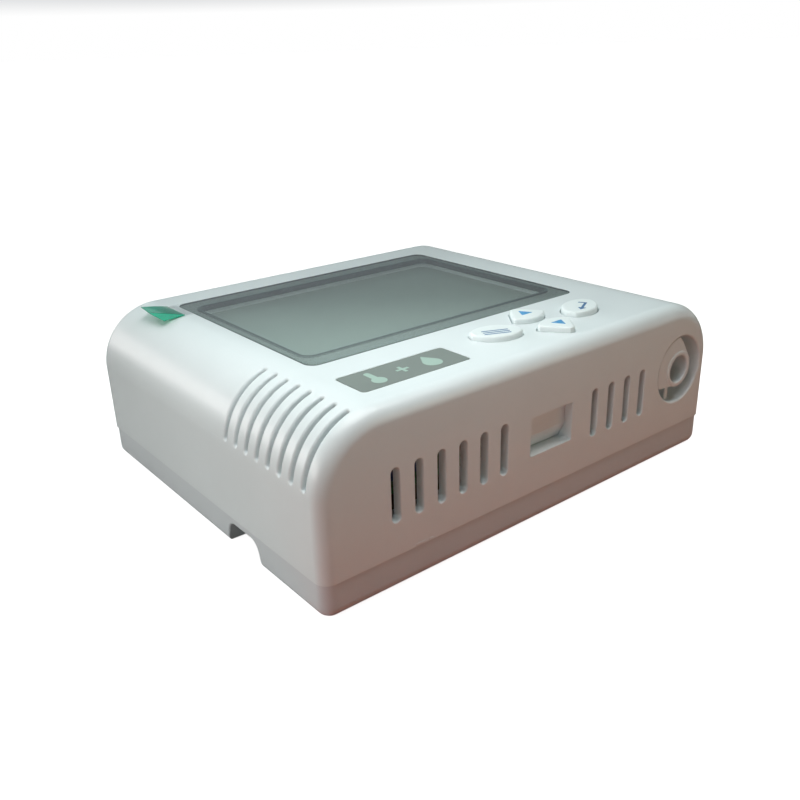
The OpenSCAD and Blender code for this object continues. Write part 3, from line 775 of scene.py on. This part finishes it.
def cover_tongues():
    """Four tongues that stand inside the front shell's walls."""
    inner_x, inner_y = HALF_W - WALL - TONGUE_FIT, HALF_H - WALL - TONGUE_FIT
    half_x, half_y = TONGUE_HALF
    low, high = SEAM - 1, SEAM + 2.5
    made = []
    for side in (-1, 1):
        y0, y1 = sorted((side * inner_y, side * (inner_y - TONGUE)))
        made.append(block((-half_x, y0, low), (half_x, y1, high)))
        x0, x1 = sorted((side * inner_x, side * (inner_x - TONGUE)))
        made.append(block((x0, -half_y, low), (x1, half_y, high)))
    return made


def rear_cover(material):
    """The shallow tray that closes the back."""
    width, height, _ = COVER_SIZE
    wall = WALL - 0.25 + TONGUE_FIT + TONGUE
    pocket = prism(rectangle(width - 2 * wall, height - 2 * wall, 1.5), on_base, COVER_FLOOR, SEAM + 1)
    wall_holes = [(side * WALL_SCREW_AT[0], WALL_SCREW_AT[1]) for side in (-1, 1)]
    posts = [prism(circle(SCREW_PAD_R, at), on_base, 1, SEAM) for at in four(SCREW_AT)]
    posts += [prism(circle(BOARD_POST_R, at), on_base, 1, BOARD_POST_TOP) for at in BOARD_POSTS]
    posts += [prism(circle(2 * WALL_SCREW_R, at), on_base, 1, 2 * COVER_FLOOR) for at in wall_holes]
    channel_block = block(
        (WALL - width / 2, CHANNEL_Y - CHANNEL_REACH, 1),
        (CHANNEL_END_X + 1.6, CHANNEL_Y + CHANNEL_REACH, SEAM - 0.1),
    )
    seat = [(2.3, -1), (2.3, 0), (2, 0.3), (2, 3), (0.7, 3), (0.7, 10)]
    holes = [sweep(circle(1, at), on_base, seat) for at in four(SCREW_AT)]
    holes += [prism(circle(SELF_TAP_R, at), on_base, 10, BOARD_POST_TOP + 1) for at in BOARD_POSTS]
    holes += [cutter(circle(WALL_SCREW_R, at), on_base, 0.3, 6) for at in wall_holes]
    holes.append(cutter(channel_outline(), on_side, 0.5, width / 2 + CHANNEL_END_X + 0.1))
    (x0, x1), (y0, y1) = WIRING_X, WIRING_Y
    wiring = rounded([(x, y, 0.8) for x, y in ((x1, y0), (x1, y1), (x0, y1), (x0, y0))])
    steps = [
        ("DIFFERENCE", [pocket]),
        ("UNION", cover_tongues() + posts),
        ("UNION", [channel_block]),
        ("DIFFERENCE", holes),
        ("DIFFERENCE", [cutter(wiring, on_base, 0.3, SEAM + 2)]),
    ]
    tray = combined("rear_cover_form", cover_form(), steps)
    piece("rear_tray", tray, material, replaces=["rear_cover"])


# ---- keys
def key_cap(name, material):
    """A key: its cap, a flange under the front wall and a stem to its switch."""
    arcs = KEYS[name]
    top, under, edge, draft = TOP - KEY_TOP, TOP - KEY_UNDER, 0.42, 0.12
    levels = [(-grow - draft, top + down) for grow, down in quarter(edge, 5)]
    levels += [(0, under), (0.9, under), (0.9, under + 1)]
    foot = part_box(f"{name}_key")[0][2] / MM
    stem = prism(circle(2, tuple(KEY_STEMS[name])), on_base, foot, KEY_UNDER - 0.5)
    cap = combined(f"{name}_form", sweep(arcs, on_top, levels), [("UNION", [stem])])
    piece(f"{name}_cap", cap, material, f"{name}_button", [f"{name}_key"])


def key_marks():
    """Generic symbols as thin raised solids: three bars, two triangles and a return arrow."""
    bars = [rectangle(6.2, 0.44, 0.1, (0, 1.05 * k)) for k in (-1, 0, 1)]
    triangle = [rounded([(1.75, -1.45, 0.12), (0, 1.5, 0.12), (-1.75, -1.45, 0.12)])]
    tip, barb = [(-3.1, -0.5), (-1.4, -1.5)], [(-1.4, 0.5)]
    shaft = [(-1.4, -0.8), (3, -0.8), (3, 1.3), (2.4, 1.3), (2.4, -0.2), (-1.4, -0.2)]
    arrow = [rounded([(x, y, 0.03) for x, y in tip + shaft + barb])]
    top, height = TOP - KEY_TOP, 0.02
    marks = {}
    for name, outlines in {"menu": bars, "up": triangle, "down": triangle, "enter": arrow}.items():
        angle, at = MARK_PLACES[name]
        solids = [prism(turned(arcs, angle, at), on_top, top - height, top + 0.05) for arcs in outlines]
        marks[name] = together(solids)
    return marks


# ---- nameplate
def plate_symbols():
    """A thermometer, a plus sign and a drop, as outlines round the plate's centre."""
    thermometer = [(0, 2.45, 0.7, 0, 180), (0, -1.6, 1.6, 116, 424)]
    arm, bar = 1.52, 0.36
    half = [(bar, arm), (-bar, arm), (-bar, bar), (-arm, bar), (-arm, -bar), (-bar, -bar)]
    plus = rounded([(x, y, 0.03) for x, y in half + [(-x, -y) for x, y in half]])
    drop = [(0, -0.9, 2.1, 150, 390), (0, 2.7, 0.18, 30, 150)]
    return [turned(arcs, 0, (x, 0)) for arcs, x in zip((thermometer, plus, drop), SYMBOL_X)]


def nameplate(plate_material, mark_material):
    plate = plug(plate_outline(0), on_top, 0.2, 0, PLATE_SIZE[2])
    piece("grey_plate", plate, plate_material, replaces=["nameplate"])
    marks = [prism(turned(arcs, 0, PLATE_AT[:2]), on_top, -0.025, 0.06) for arcs in plate_symbols()]
    piece("plate_symbols", together(marks), mark_material)


# ---- display
def lens(lens_material, mask_material, line_material):
    """The lens, the border printed under it, the dark line round the border and a dark ring in the gap round
    the lens, painted shade of that gap.
    """
    line_out, line_in = 0.3, 0.35
    step = TOP - LENS_HIGH[2] + LENS_REBATE
    middle = prism(aperture_outline(-line_in - 0.1), on_top, step - 0.1, TOP - LENS_LOW[2])
    panel = combined("lens_form", plug(lens_outline(-0.1), on_top, 0.18, 0, step), [("UNION", [middle])])
    piece("lens_panel", panel, lens_material, replaces=["display_lens"])
    foot, under = ADHESIVE_LOW[2], TOP - step - 0.01
    rings = {
        "lens_border": (lens_outline(-0.09), aperture_outline(line_out), under, mask_material),
        "aperture_line": (aperture_outline(line_out), aperture_outline(-line_in), TOP + 0.01, line_material),
        # painted shade: a dark ring that fills the gap round the lens
        "gap_shade_ring": (lens_outline(0.14), lens_outline(-0.08), TOP - 0.03, line_material),
    }
    for name, (outer, inner, top, material) in rings.items():
        hole = prism(inner, on_top, -1, 3)
        ring = combined(f"{name}_form", prism(outer, on_base, foot, top), [("DIFFERENCE", [hole])])
        covered = ["lens_adhesive"] if name == "lens_border" else []
        piece(name, ring, material, replaces=covered)


def display_glass(glass_material, polariser_material):
    """The two panes of the display, and the polariser on them that shows in the lens's aperture."""
    gap, ledge = 0.02, 0.8
    top, split = TOP - LCD_HIGH[2], LCD_AT[2] - gap
    outline = rectangle(LCD_SIZE[0], LCD_SIZE[1], 0.3, LCD_AT[:2])
    upper = plug(outline, on_top, 0.15, top, TOP - split - 2 * gap)
    lower = prism(outline, on_base, LCD_LOW[2], split)
    piece("lcd_panes", together([upper, lower]), glass_material, replaces=["lcd_glass"])
    sheet = plug(aperture_outline(-0.25), on_top, 0.08, top - ledge, top)
    piece("lcd_polariser", sheet, polariser_material)


# ---- pull tab
def sheet_between(root, free, bulge, count=10):
    """A thin sheet between two edges, each given by its two ends, that is slightly arched."""
    top = []
    for i in range(count + 1):
        start = root[0].lerp(root[1], i / count)
        end = free[0].lerp(free[1], i / count)
        for j in range(count + 1):
            along = j / count
            rise = bulge * 4 * along * (1 - along)
            top.append(start.lerp(end, along) + Vector((0, 0, rise)))
    row, total = count + 1, len(top)
    faces = []
    for i in range(count):
        for j in range(count):
            a = i * row + j
            faces.append((a, a + 1, a + row + 1, a + row))
            faces.append((total + a + row, total + a + row + 1, total + a + 1, total + a))
    edge = list(range(row))
    edge += [i * row + count for i in range(1, count + 1)]
    edge += [count * row + j for j in range(count - 1, -1, -1)]
    edge += [i * row for i in range(count - 1, 0, -1)]
    faces += [(b, a, a + total, b + total) for a, b in zip(edge, edge[1:] + edge[:1])]
    under = [point - Vector((0, 0, TAB_THICKNESS)) for point in top]
    return np.array([tuple(point) for point in top + under]), faces


def pull_tab(shaded_sheet_material, lit_fold_material):
    """The green tab: a lifted sheet, and the corner of it that is folded down towards the key side. The two
    are one film in a darker copy on the sheet, painted shade, and a brighter copy on the fold, painted
    light.
    """
    hinge = TAB_ROOT[1]
    upper = sheet_between(TAB_ROOT, (TAB_TIP, TAB_ELBOW), 0.12)
    fold = sheet_between((hinge - Vector((0.02, 0, 0)), hinge), (TAB_ELBOW, TAB_CORNER), 0.05)
    piece("green_tab", upper, shaded_sheet_material, replaces=["film_tab"], sharp=20)
    piece("green_tab_fold", fold, lit_fold_material, sharp=20)


# ---- ports
def port_blank(material):
    """The blank behind the port window: upright above, leaning back at its foot."""
    front, back = INNER_Y - BLANK_FIT, INNER_Y + COLLAR_LEN
    top, foot = WINDOW_Z[1] - BLANK_FIT, WINDOW_Z[0] + BLANK_FIT
    corners = [
        (back + 0.01, top, 0.02),
        (front, top, 0.15),
        (front, BLANK_BEND, 0.5),
        (front + BLANK_SLOPE, foot, 0.15),
        (back + 0.01, foot, 0.02),
    ]
    face = prism(rounded(corners), across, WINDOW_X[0] + BLANK_FIT, WINDOW_X[1] - BLANK_FIT)
    plate = block(
        (WINDOW_X[0] - WINDOW_COLLAR, back, WINDOW_Z[0] - WINDOW_COLLAR),
        (WINDOW_X[1] + WINDOW_COLLAR, back + 1, WINDOW_Z[1] + WINDOW_COLLAR),
    )
    blank = combined("blank_form", face, [("UNION", [plate])])
    piece("window_blank", blank, material, replaces=["port_blank"])


def bushing_disc(face):
    """The face disc, cut away above and to the right of the tube."""
    cx, cz = RECESS_AT
    left, above = cx - DISC_R - 1, cz + DISC_R + 1
    corners = [
        (cx - 1.2, above),
        (left, above),
        (left, cz - 3.4),
        (cx + 1.5, cz - 4.4),
        (cx + 3.7, cz - 1),
        (cx + 4.7, cz + 1.5),
        (cx + 1.1, cz + DISC_R - 1.5),
    ]
    kept = prism(rounded([(x, z, 0.3) for x, z in corners]), on_end, -1, 5)
    whole = plug(circle(DISC_R, RECESS_AT), on_end, 0.25, face, face + 1.2, 5)
    return solid_of(combined("disc_form", whole, [("INTERSECT", [kept])]))


def cable_bushing(material):
    """A tube in the round recess with a face disc on one side, a rib, and a floor with a gap."""
    cx, cz = RECESS_AT
    y0 = BUSHING_FACE + 0.2
    face, back = y0 + HALF_H, WALL + RECESS_LEN
    rim = face - 0.2
    tube = plug(circle(TUBE_R, RECESS_AT), on_end, 0.45, rim, face + 12, 5)
    floor = prism(circle(RECESS_R - 0.1, RECESS_AT), on_end, back - 1.2, back + 0.01)
    flange = prism(circle(RECESS_R + 1, RECESS_AT), on_end, back, back + 1)
    rib = block((cx - 3.4, y0 + 1, cz - 7.6), (cx - 2.2, y0 + back - 0.4, cz - 3.1))
    gap = block((cx - 1.6, y0 + back - 3.3, cz - 7.4), (cx + 1.6, y0 + back + 3, cz - 5.2))
    points, faces = cutter(circle(BORE_R, RECESS_AT), on_end, 0.4, face + 13, 5)
    bore = points + np.array((0, rim, 0)), faces
    steps = [
        ("UNION", [floor]),
        ("UNION", [flange]),
        ("UNION", [bushing_disc(face)]),
        ("UNION", [rib]),
        ("DIFFERENCE", [gap]),
        ("DIFFERENCE", [bore]),
    ]
    bushing = combined("bushing_form", tube, steps)
    piece("lead_bushing", bushing, material, replaces=["cable_bushing"], sharp=40)


def solid_of(obj):
    """Takes an object's mesh back as a solid and removes the object."""
    mesh = obj.data
    solid = np.array([tuple(v.co) for v in mesh.vertices]), [tuple(p.vertices) for p in mesh.polygons]
    bpy.data.objects.remove(obj)
    return solid


def gate_mark(material):
    """A small scar left on the lower end, just above the seam, where the shell was moulded."""
    marks = [
        plug(rectangle(width, 0.5, 0.22, (x, SEAM + 0.55)), on_end, 0.05, -0.05, 0.1)
        for x, width in ((-36.6, 2.6), (-33.9, 1.2))
    ]
    piece("gate_mark", together(marks), material)


# ---- stage, light and camera
# Metres from here on. The card's colours run along Y, over the span CARD_Y.
FLOOR_SIZE = 60.0
FLOOR_COLOUR = (0.93, 0.93, 0.93)
FLOOR_GLOW = 0.9
# The under shade is a dark plane under the wiring opening: painted shadow of the case on the floor.
SHADE_AT = (-0.0185, -0.0165)
SHADE_SIZE = (0.0338, 0.026)
SHADE_COLOUR = (0.12, 0.11, 0.1)
CARD_SIZE = 3.0
CARD_Y = (-0.2, 0.0)
# The card's brown is the table's colour; its darker, redder stops just in front of the lower end (near 0.75)
# are painted contact shade.
CARD_BROWN_AND_SHADE = (
    (0.2, (0.4, 0.28, 0.24)),
    (0.5, (0.52, 0.22, 0.15)),
    (0.68, (0.5, 0.12, 0.06)),
    (0.75, (0.44, 0.07, 0.035)),
    (0.8, (0.32, 0.31, 0.3)),
)

# The surroundings: the sine of the height where each part starts and ends to fade.
HORIZON_FADE = (0.04, 0.08)
WALL_FADE = (0.27, 0.33)
WINDOW_FADE = (0.7, 0.9)
WINDOW_HEADING = (0.65, 0.82, 0.0)
WINDOW_SIDES = (0.1, 0.5)
WINDOW_LIGHT = (0.60, 0.76, 0.74)

# Walls of light: direction, how sharply it falls off to the sides, colour.
WALLS = (
    ((-0.87, 0.5, 0.0), 3.0, (4.1, 3.9, 3.8)),
    ((0.9, -0.44, 0.0), 2.0, (0.2, 0.2, 0.2)),
    ((0.0, -1.0, 0.0), 2.0, (0.23, 0.2, 0.19)),
    ((0.0, 1.0, 0.0), 2.0, (0.3, 0.33, 0.36)),
)

# Lamps: direction from the object, distance, size, power per channel.
LAMPS = {
    "near_lamp": ((-0.24, -0.26, 1.0), 0.155, 0.1, (0.124, 0.126, 0.126)),
    "left_lamp": ((-1.0, -0.12, 0.35), 0.2, 0.06, (0.027, 0.026, 0.025)),
    "front_lamp": ((0.55, -1.0, 0.25), 0.3, 0.15, (0.05, 0.04, 0.024)),
    "glint": ((0.41, -0.23, 0.87), 0.6, 0.03, (0.3, 0.3, 0.3)),
}

# The camera: its place, and its heading from Y towards X, tilt and roll in degrees.
EYE = (-0.1279, -0.16033, 0.09912)
HEADING = 38.284
TILT = -22.678
ROLL = -1.737
FOCAL_LENGTH = 37.95


def flat_stage(name, size, height, material, at=(0.0, 0.0)):
    """A level rectangle that isn't part of the object."""
    mesh = bpy.data.meshes.new(name)
    x, y = size[0] / 2, size[1] / 2
    corners = [(-x, -y), (x, -y), (x, y), (-x, y)]
    mesh.from_pydata([(at[0] + cx, at[1] + cy, height) for cx, cy in corners], [], [(0, 1, 2, 3)])
    mesh.materials.append(material)
    obj = bpy.data.objects.new(name, mesh)
    bpy.context.scene.collection.objects.link(obj)
    return obj


def plain(name, colour, glow=0.0):
    """A matt material that may glow white."""
    made, tree = new_material(name)
    lit = {"Emission Color": (1, 1, 1, 1), "Emission Strength": glow}
    principled(tree, {"Base Color": (*colour, 1), "Roughness": 0.9, **lit})
    return made


def card_material():
    """Brown in front of the lower end, darker towards it as painted contact shade, and grey elsewhere."""
    made, tree = new_material("card_brown")
    where = node(tree, "ShaderNodeTexCoord").outputs["Object"]
    y = node(tree, "ShaderNodeSeparateXYZ", {"Vector": where}).outputs["Y"]
    span = {"From Min": CARD_Y[0], "From Max": CARD_Y[1]}
    along = node(tree, "ShaderNodeMapRange", {"Value": y, **span}).outputs["Result"]
    tone = ramp(tree, along, [(at, (*colour, 1)) for at, colour in CARD_BROWN_AND_SHADE])
    principled(tree, {"Base Color": tone, "Roughness": 0.7})
    return made


def stage():
    """A pale floor that only the camera sees, a card just under it that lights the object's lower walls,
    and a dark plane under the wiring opening as painted shadow, so that the floor doesn't show through the
    vents."""
    floor_white = plain("floor_white", FLOOR_COLOUR, FLOOR_GLOW)
    floor = flat_stage("floor", (FLOOR_SIZE, FLOOR_SIZE), -0.00002, floor_white)
    floor.visible_diffuse = False
    floor.visible_glossy = False
    floor.visible_shadow = False
    # painted shadow: a dark plane under the wiring opening
    flat_stage("under_shade", SHADE_SIZE, -0.00001, plain("shade_grey", SHADE_COLOUR), SHADE_AT)
    card = flat_stage("warm_card", (CARD_SIZE, CARD_SIZE), -0.0004, card_material())
    card.visible_camera = False


def scaled(tree, colour, weight):
    """A colour made dimmer by a weight, as a vector."""
    return node(tree, "ShaderNodeVectorMath", {0: colour, "Scale": weight}, operation="SCALE").outputs[0]


def toward(tree, where, direction):
    """How nearly the direction of a ray is the given one, from -1 to 1."""
    made = node(tree, "ShaderNodeVectorMath", {0: where, 1: direction}, operation="DOT_PRODUCT")
    return made.outputs["Value"]


def added(tree, first, second):
    return node(tree, "ShaderNodeVectorMath", {0: first, 1: second}).outputs[0]


def world():
    """Soft surroundings: a white horizon, walls of light that fade into one another, and a far window."""
    made = bpy.data.worlds.new("studio")
    made.use_nodes = True
    tree = made.node_tree
    tree.nodes.clear()
    where = node(tree, "ShaderNodeTexCoord").outputs["Generated"]
    height = node(tree, "ShaderNodeSeparateXYZ", {"Vector": where}).outputs["Z"]
    black, white = (0, 0, 0, 1), (1, 1, 1, 1)
    horizon = ramp(tree, height, list(zip(HORIZON_FADE, (white, black))))
    walls = ramp(tree, height, list(zip(HORIZON_FADE + WALL_FADE, (black, white, white, black))))
    band = ramp(tree, height, list(zip(WALL_FADE + WINDOW_FADE, (black, white, white, black))))
    sides = ramp(tree, toward(tree, where, WINDOW_HEADING), list(zip(WINDOW_SIDES, (black, white))))
    window = maths(tree, "MULTIPLY", band, sides)
    total = added(tree, scaled(tree, (1, 1, 1), horizon), scaled(tree, WINDOW_LIGHT, window))
    for direction, power, colour in WALLS:
        facing = maths(tree, "MAXIMUM", toward(tree, where, direction), 0.0)
        share = maths(tree, "MULTIPLY", maths(tree, "POWER", facing, power), walls)
        total = added(tree, total, scaled(tree, colour, share))
    shader = node(tree, "ShaderNodeBackground", {"Color": total, "Strength": 1.0})
    node(tree, "ShaderNodeOutputWorld", {"Surface": shader.outputs["Background"]})
    bpy.context.scene.world = made


def area_light(name, direction, distance, size, power):
    """A square soft light that stands off the object in a direction and faces it. power is per channel."""
    data = bpy.data.lights.new(name, "AREA")
    data.shape = "SQUARE"
    data.size = size
    data.energy = max(power)
    data.color = [channel / max(power) for channel in power]
    obj = bpy.data.objects.new(name, data)
    away = Vector(direction).normalized()
    obj.location = away * distance
    obj.rotation_euler = away.to_track_quat("Z", "Y").to_euler()
    obj.visible_camera = False
    bpy.context.scene.collection.objects.link(obj)


def camera():
    """A hand-held view from the lower left, a little above the front face."""
    data = bpy.data.cameras.new("camera")
    data.sensor_width = 36.0
    data.lens = FOCAL_LENGTH
    data.clip_start = 0.01
    obj = bpy.data.objects.new("camera", data)
    turns = ((-HEADING, "Z"), (90 + TILT, "X"), (ROLL, "Z"))
    place = Matrix.Translation(EYE)
    for angle, axis in turns:
        place = place @ Matrix.Rotation(math.radians(angle), 4, axis)
    obj.matrix_world = place
    bpy.context.scene.collection.objects.link(obj)
    bpy.context.scene.camera = obj


# ---- the whole
CASE_WHITE = (0.79, 0.865, 0.875)
COVER_WHITE = (0.66, 0.72, 0.74)
KEY_WHITE = (0.82, 0.9, 0.9)


def key_pieces():
    """The four keys and their printed marks."""
    white = moulded("key_white", KEY_WHITE, 0.34, 0.012)
    dull_blue = moulded("print_dull_blue", (0.045, 0.155, 0.34), 0.45, 0.1)
    bright_blue = moulded("print_bright_blue", (0.05, 0.31, 0.62), 0.45, 0.1)
    for name, solid in key_marks().items():
        key_cap(name, white)
        ink = bright_blue if name in ("up", "down") else dull_blue
        piece(f"{name}_mark", solid, ink, f"{name}_button")


def front_pieces():
    """The nameplate, the display and its pull tab."""
    nameplate(
        moulded("plate_grey", (0.2, 0.235, 0.215), 0.3, 0.06),
        moulded("plate_pale", (0.38, 0.53, 0.46), 0.4, 0.04),
    )
    lens(
        see_through("lens_acrylic", (0.9, 0.93, 0.92), 0.035, 0.03, (0.7, 0.75, 0.74)),
        moulded("lens_mask", (0.2, 0.235, 0.225), 0.5, 0.05),
        moulded("lens_line", (0.05, 0.075, 0.08), 0.5, 0.05),
    )
    display_glass(
        moulded("lcd_pane", (0.3, 0.34, 0.32), 0.2, 0.04),
        moulded("lcd_polariser", (0.27, 0.32, 0.288), 0.3, 0.02, Roughness=0.3),
    )
    # One green film in two copies: a darker one on the lifted sheet as painted shade, a brighter one on the
    # folded corner as painted light.
    pull_tab(
        see_through("tab_green_shaded", (0.12, 0.75, 0.58), 0.12, 0.5, (0.02, 0.36, 0.25), 1.6),
        see_through("tab_fold_green_lit", (0.02, 0.8, 0.52), 0.25, 0.6, (0.0, 0.55, 0.36), 1.3),
    )


def dress(names, material):
    """Gives CAD nodes that stay one material."""
    for name in names:
        for material_slot in bpy.data.objects[name].material_slots:
            material_slot.material = material


def kept_nodes():
    """Materials for the lens film and for everything inside the case."""
    black = ["lcd_holder", "board_header", "board_socket", "co2_headers", "processor", "buzzer"]
    black += [f"{name}_plunger" for name in KEYS]
    dress(black, moulded("black_moulding", (0.02, 0.02, 0.021), 0.45, 0.15))
    steel = ["terminal_screws", "case_screws", "display_screws", "board_screws"]
    dress(steel, moulded("plated_steel", (0.62, 0.62, 0.6), 0.28, 0.08, Metallic=1.0))
    boards = ["display_board", "main_board"]
    dress(boards, circuit_board("mask_green", (0.012, 0.11, 0.045), (0.03, 0.2, 0.08)))
    small_boards = ["co2_board", "humidity_board"]
    dress(small_boards, circuit_board("mask_blue", (0.01, 0.04, 0.14), (0.03, 0.1, 0.25)))
    switches = [f"{name}_switch" for name in KEYS]
    dress(switches, moulded("switch_housing", (0.05, 0.05, 0.055), 0.4, 0.1))
    strips = ["elastomer_upper", "elastomer_lower"]
    dress(strips, moulded("silicone_pink", (0.5, 0.2, 0.25), 0.6, 0.08))
    capacitors = ["capacitor_upper", "capacitor_lower"]
    dress(capacitors, moulded("capacitor_sleeve", (0.02, 0.025, 0.08), 0.3, 0.1))
    film = see_through("film_clear", (0.99, 0.995, 0.995), 0.06, 0.015, (0.85, 0.9, 0.9), 1.2)
    dress(["lens_film"], film)
    dress(["lcd_backlight"], moulded("light_guide", (0.8, 0.84, 0.78), 0.25, 0.03))
    dress(["terminal_block"], moulded("terminal_green", (0.02, 0.2, 0.08), 0.38, 0.08))
    dress(["co2_cell"], moulded("gold_cell", (0.85, 0.6, 0.25), 0.3, 0.06, Metallic=1.0))
    dress(["co2_filter"], moulded("filter_white", (0.8, 0.8, 0.77), 0.7, 0.05))
    dress(["humidity_sensor"], moulded("sensor_white", (0.78, 0.79, 0.78), 0.5, 0.04))
    dress(["power_inductor"], moulded("ferrite", (0.06, 0.06, 0.062), 0.55, 0.12))


def build():
    """Every visible piece, and the finish of the CAD nodes that stay."""
    gloss = {"Coat Weight": 0.4, "Coat Roughness": 0.08}
    case = moulded("case_white", CASE_WHITE, 0.34, 0.012, swell=0.00002, **gloss)
    front_shell(case)
    rear_cover(moulded("cover_white", COVER_WHITE, 0.36, 0.012))
    key_pieces()
    front_pieces()
    port_blank(case)
    cable_bushing(case)
    gate_mark(case)
    kept_nodes()


build()
stage()
world()
for lamp, (direction, distance, size, power) in LAMPS.items():
    area_light(lamp, direction, distance, size, power)
camera()
bpy.context.scene.view_settings.view_transform = "Standard"
